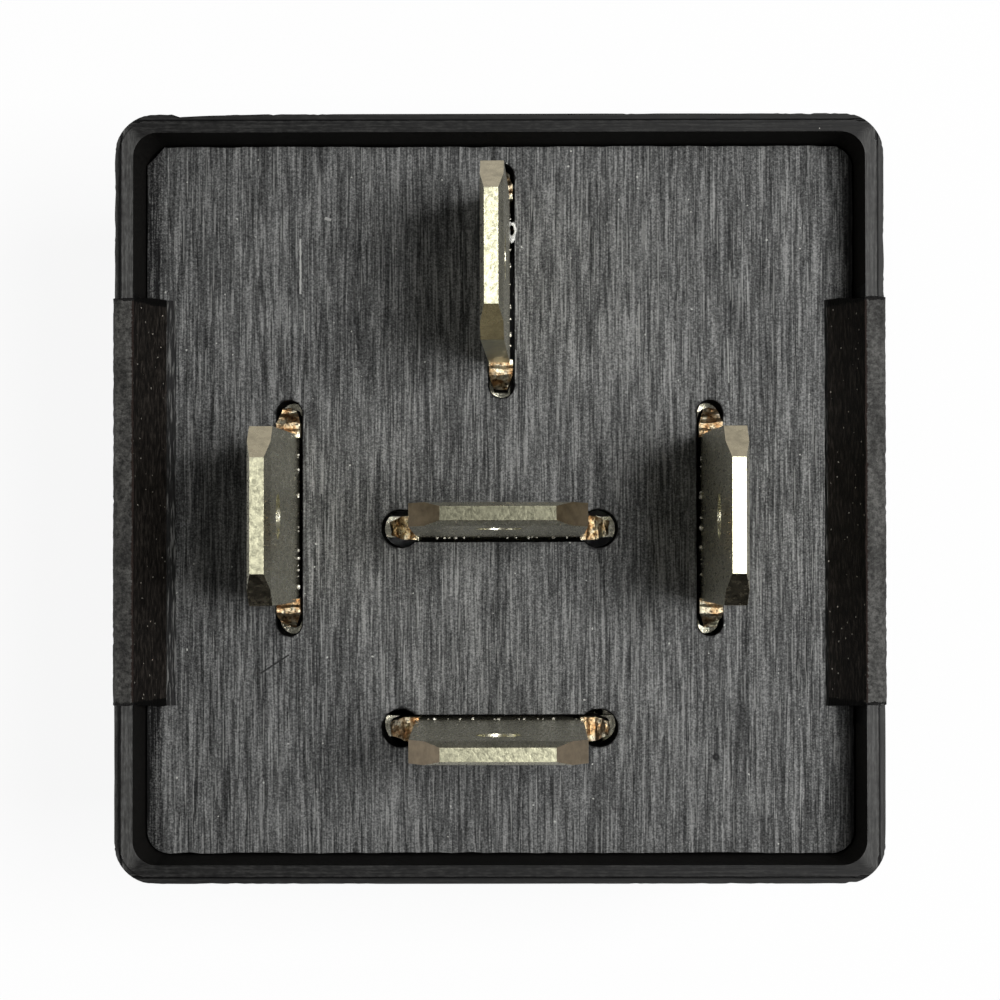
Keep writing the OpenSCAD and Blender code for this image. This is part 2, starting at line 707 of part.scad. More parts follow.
// Contact spring: one leaf from the back of the yoke, round the hinge and
// under the armature to the moving contact, in the shape that it rests in.
module contact_spring() {
    turned = open_angle;
    along = [-cos(turned), -sin(turned)];
    normal = [-sin(turned), cos(turned)];
    hinge = [hinge_y, hinge_z];
    bend_y = leg_outer_y - spring_bend_r;
    bend_z = hinge_z + (spring_bend_r - armature_t + sin(turned) * (bend_y - hinge_y)) / cos(turned);
    bend_c = [bend_y, bend_z];
    reach = hinge_y - spring_end_y;
    end_top = hinge + reach * along - armature_t * normal;
    leaf = concat(
        [[leg_outer_y, spring_foot_top]],
        arc_points(bend_c, spring_bend_r, 0, turned - 90),
        [end_top, end_top - spring_t * normal],
        arc_points(bend_c, spring_bend_r + spring_t, turned - 90, 0),
        [[leg_outer_y + spring_t, spring_foot_top]]
    );
    color("#c08a4a") difference() {
        run_x(leaf, -spring_w / 2, spring_w / 2);
        for (z = spring_rivet_z) translate([0, leg_outer_y + cut, z]) rotate([90, 0, 0])
            cylinder(d = rivet_d, h = 2 * cut);
        at_rest() {
            for (x = [-1, 1]) translate([x * armature_rivet_x, armature_rivet_y, spring_top - cut])
                cylinder(d = rivet_d, h = 2 * cut);
            translate([0, contact_y, spring_top - cut]) cylinder(d = contact_shank_d, h = 2 * cut);
        }
        // The leaf narrows to a tongue past the armature's free end
        for (x = [-1, 1]) translate([x * spring_w / 2, spring_end_y, spring_top])
            cube([spring_w - tongue_w, 2 * (armature_end_y - spring_end_y) - tongue_w / 2,
                  6 * armature_t], center = true);
    }
}

// Contact head with a crowned face towards +Z.
module crowned_head(d, from) {
    crown_r = (d * d / 4 + crown_h * crown_h) / (2 * crown_h);
    intersection() {
        translate([0, 0, from]) cylinder(d = d, h = head_t + crown_h);
        translate([0, 0, from + head_t + crown_h - crown_r]) sphere(crown_r);
    }
}

// Moving contact: riveted through the leaf, with a head on each side.
module moving_contact() {
    color("#d8d5cc") at_rest() translate([0, contact_y, spring_top]) {
        crowned_head(moving_contact_d, 0);
        translate([0, 0, -spring_t]) mirror([0, 0, 1]) crowned_head(moving_contact_d, 0);
        translate([0, 0, -spring_t - head_t / 2])
            cylinder(d = contact_shank_d, h = spring_t + head_t);
    }
}

// Fixed contact: a flat head on its carrier and a shank through it.
module fixed_contact(face, direction) {
    color("#d8d5cc") translate([0, contact_y, face]) mirror([0, 0, direction < 0 ? 1 : 0]) {
        translate([0, 0, -head_t]) cylinder(d = fixed_contact_d, h = head_t);
        translate([0, 0, -head_t - blade_t]) cylinder(d = contact_shank_d, h = blade_t + head_t / 2);
    }
}

module contact_87() fixed_contact(open_face, -1);
module contact_87a() fixed_contact(closed_face, 1);

case();
base_plate();
terminal_30();
terminal_85();
terminal_86();
terminal_87();
terminal_87a();
yoke();
core();
bobbin();
coil_winding();
coil_lead_85();
coil_lead_86();
terminal_rivet();
spring_rivets();
armature();
contact_spring();
armature_rivets();
moving_contact();
contact_87();
contact_87a();
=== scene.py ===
import json
import math

import bmesh
import bpy
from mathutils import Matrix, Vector, noise


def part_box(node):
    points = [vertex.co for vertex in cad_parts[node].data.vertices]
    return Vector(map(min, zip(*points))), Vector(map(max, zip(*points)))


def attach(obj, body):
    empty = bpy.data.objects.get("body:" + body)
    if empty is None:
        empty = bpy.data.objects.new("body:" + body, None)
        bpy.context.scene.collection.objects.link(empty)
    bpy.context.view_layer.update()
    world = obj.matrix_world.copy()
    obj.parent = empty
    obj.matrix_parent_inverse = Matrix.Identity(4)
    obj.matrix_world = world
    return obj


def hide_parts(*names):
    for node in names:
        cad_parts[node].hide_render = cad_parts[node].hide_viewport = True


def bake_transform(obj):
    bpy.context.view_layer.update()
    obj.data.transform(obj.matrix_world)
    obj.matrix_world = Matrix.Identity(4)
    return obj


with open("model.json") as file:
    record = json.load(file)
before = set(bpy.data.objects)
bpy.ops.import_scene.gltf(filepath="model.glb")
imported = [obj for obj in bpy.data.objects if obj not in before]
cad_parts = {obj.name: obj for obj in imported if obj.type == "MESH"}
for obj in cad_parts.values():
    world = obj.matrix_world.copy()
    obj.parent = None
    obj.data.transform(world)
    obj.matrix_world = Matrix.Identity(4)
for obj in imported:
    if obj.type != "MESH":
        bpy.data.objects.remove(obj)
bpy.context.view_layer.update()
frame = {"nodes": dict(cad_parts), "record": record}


# ---------------------------------------------------------------------------
# Case: a square pot of black glass-filled nylon, moulded in one piece.  Its
# open rim has a small ledge round the outside, and two stretches of the rim
# were folded over hot, as lips that hold the base plate down for good.
# ---------------------------------------------------------------------------
MM = 0.001
CUT_PITCH = 0.24
RIM_PITCH = 0.15
RIM_BAND = 0.45
RIM_WALL = 0.72
LEDGE = 0.24
LIP_HALF = 7.5
LIP_MID = -0.12
LIP_REACH = {-1: 0.85, 1: 1.05}
TOE_FLARE = 0.2
FILM_REACH = 0.34
MELT_DEPTH = 0.05
RAGGED = 0.04
FLASH_END = -12.05
FLASH_H, FLASH_FADE = 0.1, 2.6

rim_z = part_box("case")[1].z / MM
case_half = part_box("case")[1].y / MM
bulge_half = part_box("case")[1].x / MM
plate_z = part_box("base_plate")[1].z / MM


def select_only(piece):
    bpy.ops.object.select_all(action="DESELECT")
    piece.select_set(True)
    bpy.context.view_layer.objects.active = piece


def copy_of(node, name):
    """A copy of a CAD node's mesh, merged, with whole flat faces, in millimetres."""
    piece = bpy.data.objects.new(name, frame["nodes"][node].data.copy())
    bpy.context.scene.collection.objects.link(piece)
    piece.data.materials.clear()
    piece.data.transform(((1 / MM, 0, 0, 0), (0, 1 / MM, 0, 0), (0, 0, 1 / MM, 0), (0, 0, 0, 1)))
    select_only(piece)
    bpy.ops.object.mode_set(mode="EDIT")
    bpy.ops.mesh.select_mode(type="FACE")
    bpy.ops.mesh.select_all(action="SELECT")
    bpy.ops.mesh.remove_doubles(threshold=0.002)
    bpy.ops.mesh.dissolve_limited(angle_limit=math.radians(0.5))
    bpy.ops.object.mode_set(mode="OBJECT")
    if piece.data.has_custom_normals:
        bpy.ops.mesh.customdata_custom_splitnormals_clear()
    return piece


def pick_faces(piece, wanted):
    """In edit mode, selects the faces whose centre and normal pass a test."""
    shown = bmesh.from_edit_mesh(piece.data)
    for face in shown.faces:
        face.select_set(False)
    picked = [f for f in shown.faces if wanted(f.calc_center_median(), f.normal)]
    for face in picked:
        face.select_set(True)
    bmesh.update_edit_mesh(piece.data)
    return len(picked)


def slice_faces(piece, wanted, axis, places):
    """Cuts the faces that pass a test at each place along an axis."""
    select_only(piece)
    bpy.ops.object.mode_set(mode="EDIT")
    bpy.ops.mesh.select_mode(type="FACE")
    for place in places:
        if pick_faces(piece, wanted):
            bpy.ops.mesh.bisect(
                plane_co=[place * (i == axis) for i in range(3)],
                plane_no=[float(i == axis) for i in range(3)],
            )
    bpy.ops.object.mode_set(mode="OBJECT")


def steps(start, stop, pitch):
    count = max(1, round((stop - start) / pitch))
    return [start + (stop - start) * i / count for i in range(1, count)]


def nudge(piece, shift):
    """Moves each vertex by what shift says of its place."""
    for vertex in piece.data.vertices:
        vertex.co += shift(vertex.co.copy())
    piece.data.update()


def grain(place, size, seed=0.0):
    """Smooth noise from -1 to 1 with features of a given size."""
    return noise.noise(place / size + Vector((seed, seed * 1.7, seed * 0.6)))


def soften(piece, width, segments=2, angle=35):
    """Rounds the sharp edges and shades the rest smooth."""
    select_only(piece)
    bevel = piece.modifiers.new("soft_edges", "BEVEL")
    bevel.width = width
    bevel.segments = segments
    bevel.limit_method = "ANGLE"
    bevel.angle_limit = math.radians(angle)
    bevel.use_clamp_overlap = True
    bpy.ops.object.modifier_apply(modifier=bevel.name)
    bpy.ops.object.shade_smooth_by_angle(angle=math.radians(angle))
    # Big faces keep their own normal, and only the soft edges turn
    weigh = piece.modifiers.new("flat_faces", "WEIGHTED_NORMAL")
    weigh.weight = 100
    weigh.keep_sharp = True
    bpy.ops.object.modifier_apply(modifier=weigh.name)


def settle(piece, body, slot, *nodes):
    """Takes a finished piece back to metres and puts it on its body."""
    piece.data.transform(((MM, 0, 0, 0), (0, MM, 0, 0), (0, 0, MM, 0), (0, 0, 0, 1)))
    piece.data.update()
    if body:
        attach(piece, body)
    if nodes:
        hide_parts(*nodes)


def on_rim(place, normal):
    return place.z > rim_z - RIM_BAND


def in_lip(place, normal):
    return abs(place.x) > case_half - 1.95 and abs(place.y - LIP_MID) < LIP_HALF and place.z > plate_z


case = copy_of("case", "case_shell")
slice_faces(case, on_rim, 0, steps(-case_half, case_half, RIM_PITCH))
slice_faces(case, on_rim, 1, steps(-case_half, case_half, RIM_PITCH))
slice_faces(case, in_lip, 1, steps(LIP_MID - LIP_HALF, LIP_MID + LIP_HALF, CUT_PITCH))
slice_faces(case, in_lip, 2, steps(plate_z + 0.15, rim_z - 0.15, CUT_PITCH))


def worn_lip(place):
    """Rough faces, wavy ends that spread towards the toe, and a thin film that ran out past it."""
    side = math.copysign(1, place.x)
    rough = MELT_DEPTH * (grain(place, 1.4) + 0.6 * grain(place, 0.45, 3.1))
    move = Vector((rough * 0.6, 0, min(0, rough)))
    end = place.y - LIP_MID
    if abs(abs(end) - LIP_HALF) < 0.02:
        depth = min(1.0, max(0.0, (rim_z - 0.15 - place.z) / (rim_z - 0.3 - plate_z)))
        wave = 0.07 * grain(Vector((place.x, 0, 0)), 0.35, math.copysign(5, end) + side)
        move.y = wave + math.copysign(TOE_FLARE, end) * depth
    at_toe = abs(abs(place.x) - (case_half - RIM_WALL - LIP_REACH[side])) < 0.03
    if at_toe and place.z < plate_z + 0.02:
        run = 1 + 0.12 * grain(Vector((0, place.y, 0)), 0.5, side)
        move = Vector((-side * FILM_REACH * run * (1.0 if side < 0 else 0.3), move.y, 0))
    elif at_toe:
        move.x *= 0.3
    return move


def worn_rim(place):
    """Ragged outer edge of the rim, with a dip in the +Y side next to a wisp of flash."""
    reach = max(abs(place.x), abs(place.y))
    out = Vector((place.x * (abs(place.x) > abs(place.y)), place.y * (abs(place.y) >= abs(place.x)), 0))
    out.normalize()
    lip = abs(place.x) > case_half - 1.95 and abs(place.y - LIP_MID) < LIP_HALF + 0.02
    if lip and place.z > plate_z - 0.01 and abs(place.x) < case_half + 0.055:
        return worn_lip(place)
    if reach > case_half - 0.05 and rim_z - RIM_BAND < place.z:
        dip = 0.0
        if place.y > case_half - 0.05:
            past = place.x - FLASH_END
            dip = FLASH_H * max(0.0, 1 - past / FLASH_FADE) if past > 0 else 0.0
        return -out * (dip + RAGGED * abs(grain(place, 0.6) + grain(place, 0.17, 7.7)))
    if reach > case_half - 0.3 and place.z > rim_z - 0.02:
        return out * 0.02 * grain(place, 0.8, 2.2)
    return Vector()


nudge(case, worn_rim)
soften(case, 0.05)
for vertex in case.data.vertices:
    vertex.co.x = max(-bulge_half, min(bulge_half, vertex.co.x))


def add_node(tree, kind, inputs=None, **settings):
    """A shader node whose sockets get constants or links from other nodes."""
    made = tree.nodes.new("ShaderNode" + kind)
    for name, value in settings.items():
        setattr(made, name, value)
    for socket, value in (inputs or {}).items():
        if isinstance(value, bpy.types.NodeSocket):
            tree.links.new(value, made.inputs[socket])
        else:
            made.inputs[socket].default_value = value
    return made


def maths(tree, operation, first, second=0.0):
    made = add_node(tree, "Math", {0: first, 1: second}, operation=operation)
    return made.outputs[0]


def ramp(tree, mask, *stops):
    """Colours or greys at places along a mask."""
    made = add_node(tree, "ValToRGB", {"Fac": mask})
    band = made.color_ramp.elements
    while len(band) < len(stops):
        band.new(0.5)
    for element, (place, colour) in zip(band, stops):
        element.position = place
    for element, (place, colour) in zip(band, stops):
        element.color = (*colour, 1) if isinstance(colour, tuple) else (colour, colour, colour, 1)
    return made.outputs["Color"]


def blend_colours(tree, mask, first, second, how="MIX"):
    made = add_node(tree, "Mix", {0: mask, 6: first, 7: second}, data_type="RGBA", blend_type=how)
    return made.outputs[2]


def effect(name, inputs, outputs):
    """An empty node group with named sockets, and its two ends."""
    group = bpy.data.node_groups.new(name, "ShaderNodeTree")
    for label, value in inputs.items():
        kind = "NodeSocketVector" if value is None else "NodeSocketFloat"
        made = group.interface.new_socket(name=label, in_out="INPUT", socket_type=kind)
        if value is not None:
            made.default_value = value
    for label in outputs:
        group.interface.new_socket(name=label, in_out="OUTPUT", socket_type="NodeSocketFloat")
    start = group.nodes.new("NodeGroupInput")
    end = group.nodes.new("NodeGroupOutput")
    return group, start.outputs, end.inputs


def use(tree, group, **inputs):
    made = tree.nodes.new("ShaderNodeGroup")
    made.node_tree = group
    for label, value in inputs.items():
        if isinstance(value, bpy.types.NodeSocket):
            tree.links.new(value, made.inputs[label])
        else:
            made.inputs[label].default_value = value
    return made.outputs


def new_material(name, **constants):
    """A material, its Principled shader with constants on its own sockets, and places in mm."""
    made = bpy.data.materials.new(name)
    made.use_nodes = True
    tree = made.node_tree
    shader = tree.nodes["Principled BSDF"]
    for label, value in constants.items():
        shader.inputs[label.replace("_", " ")].default_value = value
    place = add_node(tree, "TexCoord").outputs["Object"]
    scaled = add_node(tree, "Mapping", {"Vector": place, "Scale": (1 / MM,) * 3})
    return made, tree, shader, scaled.outputs["Vector"]


def stretched(tree, place, x, y, z):
    return add_node(tree, "Mapping", {"Vector": place, "Scale": (x, y, z)}).outputs["Vector"]


def paint(tree, shader, colour, roughness, height=None, depth=0.01):
    """Feeds the shader's colour, roughness and bump; depth is in millimetres."""
    tree.links.new(colour, shader.inputs["Base Color"])
    tree.links.new(roughness, shader.inputs["Roughness"])
    if height is not None:
        bump = add_node(tree, "Bump", {"Height": height, "Distance": depth * MM, "Strength": 1.0})
        tree.links.new(bump.outputs["Normal"], shader.inputs["Normal"])


def noise_at(tree, place, scale, detail=3.0, rough=0.55):
    made = add_node(tree, "TexNoise", {"Vector": place, "Scale": scale, "Detail": detail, "Roughness": rough})
    return made.outputs["Fac"]


# Specks: bright grains of dust, on a share of the cells of an even spread.
specks, ends, out = effect("specks", {"Place": None, "Spacing": 1.0, "Size": 0.04, "Share": 0.2}, ["Mask"])
tree = specks
cell_place = add_node(tree, "VectorMath", {0: ends["Place"]}, operation="DIVIDE")
spread = add_node(tree, "CombineXYZ", {0: ends["Spacing"], 1: ends["Spacing"], 2: ends["Spacing"]})
tree.links.new(spread.outputs[0], cell_place.inputs[1])
cells = add_node(tree, "TexVoronoi", {"Vector": cell_place.outputs[0], "Scale": 1.0})
wobble = noise_at(tree, ends["Place"], 14.0, 1.0)
share_of_cell = maths(tree, "DIVIDE", ends["Size"], ends["Spacing"])
edge = maths(tree, "MULTIPLY", share_of_cell, maths(tree, "MULTIPLY", wobble, 2.0))
near = maths(tree, "LESS_THAN", cells.outputs["Distance"], edge)
chance = add_node(tree, "SeparateColor", {0: cells.outputs["Color"]}).outputs[0]
kept = maths(tree, "LESS_THAN", chance, ends["Share"])
tree.links.new(maths(tree, "MULTIPLY", near, kept), out["Mask"])

# Drawn grain: streaks across X of the given place, long along its Y.
drawn, ends, out = effect("drawn_grain", {"Place": None, "Fineness": 9.0}, ["Fine", "Lines"])
tree = drawn
thin = stretched(tree, ends["Place"], 1.0, 0.07, 1.0)
tree.links.new(noise_at(tree, thin, ends["Fineness"], 3.0, 0.65), out["Fine"])
long_lines = stretched(tree, ends["Place"], 1.0, 0.022, 1.0)
line_noise = noise_at(tree, long_lines, maths(tree, "MULTIPLY", ends["Fineness"], 1.3), 2.0, 0.6)
tree.links.new(ramp(tree, line_noise, (0.62, 0.0), (0.74, 1.0)), out["Lines"])

# Brushed hairs: straight dashes in random greys, long along Y of the given place.
brushed_hairs, ends, out = effect("brushed_hairs", {"Place": None, "Across": 13.0, "Along": 0.7}, ["Grey"])
tree = brushed_hairs
spread = add_node(tree, "CombineXYZ", {0: ends["Across"], 1: ends["Along"], 2: 1.0})
cell_place = add_node(tree, "VectorMath", {0: ends["Place"], 1: spread.outputs[0]}, operation="MULTIPLY")
cells = add_node(tree, "TexVoronoi", {"Vector": cell_place.outputs[0], "Scale": 1.0})
tree.links.new(add_node(tree, "SeparateColor", {0: cells.outputs["Color"]}).outputs[0], out["Grey"])

# Scratch: one straight hairline, from its start at X and Y, turned and so long.
# Uneven is a noise that varies its width, one for all the scratches of a piece.
scratch, ends, out = effect(
    "scratch",
    {"Place": None, "Uneven": 0.5, "X": 0.0, "Y": 0.0, "Turn": 0.0, "Length": 1.0, "Width": 0.04},
    ["Mask"])
tree = scratch
start = add_node(tree, "CombineXYZ", {0: ends["X"], 1: ends["Y"]})
from_start = add_node(tree, "VectorMath", {0: ends["Place"], 1: start.outputs[0]}, operation="SUBTRACT")
turned = add_node(tree, "VectorRotate", {"Vector": from_start.outputs[0], "Angle": ends["Turn"]},
                  rotation_type="Z_AXIS")
parts = add_node(tree, "SeparateXYZ", {0: turned.outputs[0]}).outputs
thin = maths(tree, "MULTIPLY", ends["Width"], ends["Uneven"])
inside = maths(tree, "LESS_THAN", maths(tree, "ABSOLUTE", parts[0]), thin)
before = maths(tree, "GREATER_THAN", parts[1], 0.0)
after = maths(tree, "LESS_THAN", parts[1], ends["Length"])
tree.links.new(maths(tree, "MULTIPLY", inside, maths(tree, "MULTIPLY", before, after)), out["Mask"])

# Black moulded nylon: satin, with faint flow marks and fine pores.
black_plastic, tree, shader, place = new_material("black_moulded_nylon", Specular_IOR_Level=0.3)
cloud = noise_at(tree, place, 0.5, 3.0)
pores = noise_at(tree, place, 11.0, 4.0, 0.65)
flow = noise_at(tree, stretched(tree, place, 1.0, 1.0, 0.15), 1.2, 3.0, 0.6)
tone = ramp(tree, maths(tree, "MULTIPLY", pores, maths(tree, "ADD", flow, 0.5)),
            (0.3, (0.008, 0.0078, 0.0075)), (0.7, (0.021, 0.0205, 0.02)))
dust = use(tree, specks, Place=place, Spacing=0.9, Size=0.035, Share=0.12)["Mask"]
tone = blend_colours(tree, dust, tone, (0.22, 0.21, 0.2, 1))
rubs = use(tree, drawn, Place=place, Fineness=2.4)
tone = blend_colours(tree, maths(tree, "MULTIPLY", rubs["Lines"], 0.25), tone, (0.06, 0.058, 0.055, 1))
paint(tree, shader, tone, ramp(tree, cloud, (0.35, 0.38), (0.7, 0.55)), pores, 0.012)

# Rim: cut by the mould's split, streaked along each side and duller than the walls; its ±X sides are painted
# lighter as painted sheen.
rim_top, tree, shader, place = new_material("streaked_rim", Specular_IOR_Level=0.12)
apart = add_node(tree, "SeparateXYZ", {0: place}).outputs
x_size = maths(tree, "ABSOLUTE", apart[0])
y_size = maths(tree, "ABSOLUTE", apart[1])
across = maths(tree, "MAXIMUM", x_size, y_size)
along = maths(tree, "MINIMUM", x_size, y_size)
rim_place = add_node(tree, "CombineXYZ", {0: across, 1: along}).outputs[0]
long_streaks = noise_at(tree, stretched(tree, rim_place, 1.0, 0.03, 1.0), 12.0, 3.0, 0.7)
rim_pores = noise_at(tree, stretched(tree, rim_place, 1.0, 0.3, 1.0), 10.0, 3.0, 0.6)
half_streaks = maths(tree, "MULTIPLY", long_streaks, 0.5)
rim_mask = maths(tree, "ADD", half_streaks, maths(tree, "MULTIPLY", rim_pores, 0.5))
# Painted sheen: the ±X sides, whose streaks run along Y, are painted lighter than the ±Y sides, as the sheen
# they show in the key light from +X
x_beyond_y = maths(tree, "SUBTRACT", x_size, y_size)
on_x_side = ramp(tree, maths(tree, "ADD", x_beyond_y, 0.5), (0.3, 0.0), (0.8, 1.0))
lit_x_side_tone = ramp(tree, rim_mask, (0.36, (0.022, 0.0216, 0.021)), (0.5, (0.045, 0.0445, 0.0425)),
              (0.64, (0.088, 0.088, 0.085)))
shaded_y_side_tone = ramp(tree, rim_mask, (0.38, (0.003, 0.0029, 0.0028)), (0.5, (0.009, 0.0088, 0.0084)),
              (0.64, (0.03, 0.0295, 0.028)))
tone = blend_colours(tree, on_x_side, shaded_y_side_tone, lit_x_side_tone)
past_ledge = maths(tree, "ADD", maths(tree, "SUBTRACT", across, case_half - LEDGE), 0.5)
lower_step = ramp(tree, past_ledge, (0.5, 0.0), (0.53, 0.5))
tone = blend_colours(tree, lower_step, tone, (0.012, 0.0118, 0.0112, 1))
# Painted shade: a dark line at the foot of the ledge stands for the shade in its groove, which the bump below
# also sinks
ledge_line = ramp(tree, past_ledge, (0.43, 0.0), (0.47, 1.0), (0.51, 1.0), (0.55, 0.0))
tone = blend_colours(tree, ledge_line, tone, (0.002, 0.002, 0.0022, 1))
dust = use(tree, specks, Place=place, Spacing=0.9, Size=0.03, Share=0.12)["Mask"]
tone = blend_colours(tree, dust, tone, (0.25, 0.24, 0.22, 1))
groove = maths(tree, "SUBTRACT", long_streaks, maths(tree, "MULTIPLY", ledge_line, 5.0))
paint(tree, shader, tone, ramp(tree, rim_pores, (0.35, 0.45), (0.7, 0.6)), groove, 0.008)

# Seat wall: raw and matt, and painted darker than the moulded nylon as painted shade in the deep seat; hardly
# any light gets out of it.
seat_wall, tree, shader, place = new_material("matt_seat_wall", Specular_IOR_Level=0.06)
raw = noise_at(tree, place, 8.0, 4.0, 0.6)
tone = ramp(tree, raw, (0.35, (0.0045, 0.0042, 0.004)), (0.7, (0.016, 0.015, 0.0135)))
paint(tree, shader, tone, ramp(tree, raw, (0.3, 0.7), (0.7, 0.85)), raw, 0.02)

# Lip end: painted shade, a ragged dark line along both ends of the folded lip.
lip_end_shade, ends, out = effect("lip_end_painted_shade", {"Place": None}, ["Mask"])
tree = lip_end_shade
parts = add_node(tree, "SeparateXYZ", {0: ends["Place"]}).outputs
from_middle = maths(tree, "ABSOLUTE", maths(tree, "SUBTRACT", parts[1], LIP_MID))
ragged_noise = maths(tree, "MULTIPLY", noise_at(tree, ends["Place"], 6.0, 3.0, 0.6), 0.3)
ragged_end_place = maths(tree, "ADD", from_middle, ragged_noise)
tree.links.new(maths(tree, "GREATER_THAN", ragged_end_place, LIP_HALF + 0.05), out["Mask"])

# Folded plastic: the hollow face was wiped dark by the hot tool, its top is scuffed grey.
lip_face, tree, shader, place = new_material("hot_wiped_nylon", Specular_IOR_Level=0.1)
wiped = noise_at(tree, stretched(tree, place, 1.0, 0.16, 0.6), 14.0, 4.0, 0.7)
tone = ramp(tree, wiped, (0.38, (0.004, 0.0034, 0.003)), (0.52, (0.0105, 0.0088, 0.0075)),
            (0.66, (0.034, 0.029, 0.025)))
dust = use(tree, specks, Place=place, Spacing=0.32, Size=0.03, Share=0.9)["Mask"]
tone = blend_colours(tree, dust, tone, (0.34, 0.32, 0.28, 1))
# Painted shade along the ends of the lip
tone = blend_colours(tree, use(tree, lip_end_shade, Place=place)["Mask"], tone, (0.0015, 0.0014, 0.0013, 1))
paint(tree, shader, tone, ramp(tree, wiped, (0.3, 0.5), (0.7, 0.65)), wiped, 0.03)

lip_film, tree, shader, place = new_material("squeezed_film", Specular_IOR_Level=0.12)
hairs = noise_at(tree, stretched(tree, place, 1.0, 0.06, 1.0), 14.0, 3.0, 0.65)
tone = ramp(tree, hairs, (0.44, (0.003, 0.003, 0.003)), (0.54, (0.012, 0.012, 0.0115)),
            (0.64, (0.12, 0.12, 0.115)))
paint(tree, shader, tone, ramp(tree, hairs, (0.3, 0.5), (0.7, 0.7)), hairs, 0.02)

lip_top, tree, shader, place = new_material("scuffed_nylon", Specular_IOR_Level=0.14)
scuff = noise_at(tree, place, 7.0, 5.0, 0.7)
patch = noise_at(tree, stretched(tree, place, 1.0, 0.3, 1.0), 2.2, 3.0)
apart = add_node(tree, "SeparateXYZ", {0: place}).outputs
worn = maths(tree, "MULTIPLY", scuff, maths(tree, "ADD", patch, 0.5))
# Painted sheen: the +X lip's top is painted lighter than the −X one, as the sheen from the key lamp at +X
shaded_lip_top_tone = ramp(tree, worn, (0.36, (0.01, 0.0097, 0.009)), (0.52, (0.036, 0.035, 0.032)),
                 (0.72, (0.08, 0.078, 0.073)))
lit_lip_top_tone = ramp(tree, worn, (0.36, (0.022, 0.0215, 0.02)), (0.52, (0.056, 0.055, 0.052)),
                 (0.72, (0.11, 0.108, 0.102)))
tone = blend_colours(tree, maths(tree, "GREATER_THAN", apart[0], 0.0), shaded_lip_top_tone, lit_lip_top_tone)
ragged = maths(tree, "ADD", maths(tree, "ABSOLUTE", apart[0]), maths(tree, "MULTIPLY", scuff, 0.22))
brown_line = ramp(tree, maths(tree, "SUBTRACT", ragged, case_half - RIM_WALL - 0.5),
                  (0.55, 1.0), (0.66, 1.0), (0.7, 0.0))
tone = blend_colours(tree, brown_line, tone, (0.012, 0.006, 0.004, 1))
# Painted shade along the ends of the lip
tone = blend_colours(tree, use(tree, lip_end_shade, Place=place)["Mask"], tone, (0.004, 0.0036, 0.0033, 1))
paint(tree, shader, tone, ramp(tree, scuff, (0.3, 0.5), (0.7, 0.7)), scuff, 0.05)

for made in (black_plastic, rim_top, seat_wall, lip_face, lip_film, lip_top):
    case.data.materials.append(made)
for face in case.data.polygons:
    p, n = face.center, face.normal
    side = math.copysign(1, p.x)
    inner_half = case_half - RIM_WALL
    reach = max(abs(p.x), abs(p.y))
    beside_lip = abs(p.y - LIP_MID) < LIP_HALF + 0.3
    if in_lip(p, n) and abs(p.x) > inner_half + 0.02 and n.z > 0.3:
        face.material_index = 5
    elif in_lip(p, n) and abs(p.x) < inner_half - LIP_REACH[side] and n.z > 0.05:
        face.material_index = 4
    elif p.z > plate_z - 0.01 and beside_lip and 11 < abs(p.x) < inner_half + 0.04:
        face.material_index = 3
    elif p.z > rim_z - RIM_BAND and n.z > 0.35:
        face.material_index = 1
    elif p.z > plate_z - 2.5 and reach < inner_half + 0.1 and abs(n.z) < 0.9:
        face.material_index = 2
settle(case, "housing", "case_plastic", "case")


# ---------------------------------------------------------------------------
# Base plate: dark laminated hard board, brushed one way, punched with five
# slots.  It drops into its seat in the rim, with one keyed corner.
# ---------------------------------------------------------------------------
FRAY_EDGE, FRAY_SLOT = 0.045, 0.012
# Slots of the coil and common blades end as wide as the slot, those of the
# other two in wider punched holes; each has its gap along one face of the blade
SLOT_OFF = 0.075
SLOT_END, SLOT_END_R = 3.975, 0.475
CROSS_END, CROSS_END_R = 3.75, 0.7
SLOT_GAP_SIDE = {"blade_30": 1, "blade_85": 1, "blade_86": -1, "blade_87": 1, "blade_87a": -1}

plate = copy_of("base_plate", "base_plate_board")
select_only(plate)
bpy.ops.object.mode_set(mode="EDIT")
bpy.ops.mesh.select_mode(type="EDGE")
shown = bmesh.from_edit_mesh(plate.data)
for e in shown.edges:
    e.select_set(False)
for e in shown.edges:
    top = all(v.co.z > plate_z - 0.01 for v in e.verts)
    walls = sum(abs(f.normal.z) < 0.5 for f in e.link_faces)
    if top and walls == 1 and e.calc_length() > 1:
        e.select_set(True)
bmesh.update_edit_mesh(plate.data)
bpy.ops.mesh.subdivide(number_cuts=60, ngon=True)
bpy.ops.object.mode_set(mode="OBJECT")


def frayed(place):
    """Chipped edges of the board and of its punched slots."""
    if place.z < plate_z - 0.01:
        return Vector()
    outer = max(abs(place.x), abs(place.y)) > case_half - RIM_WALL - 0.2
    depth = FRAY_EDGE if outer else FRAY_SLOT
    return Vector((grain(place, 0.16), grain(place, 0.16, 4.0), 0)) * depth


nudge(plate, frayed)
soften(plate, 0.04, 1, 40)

PIN_HOLE = (8.18, -9.78, plate_z)

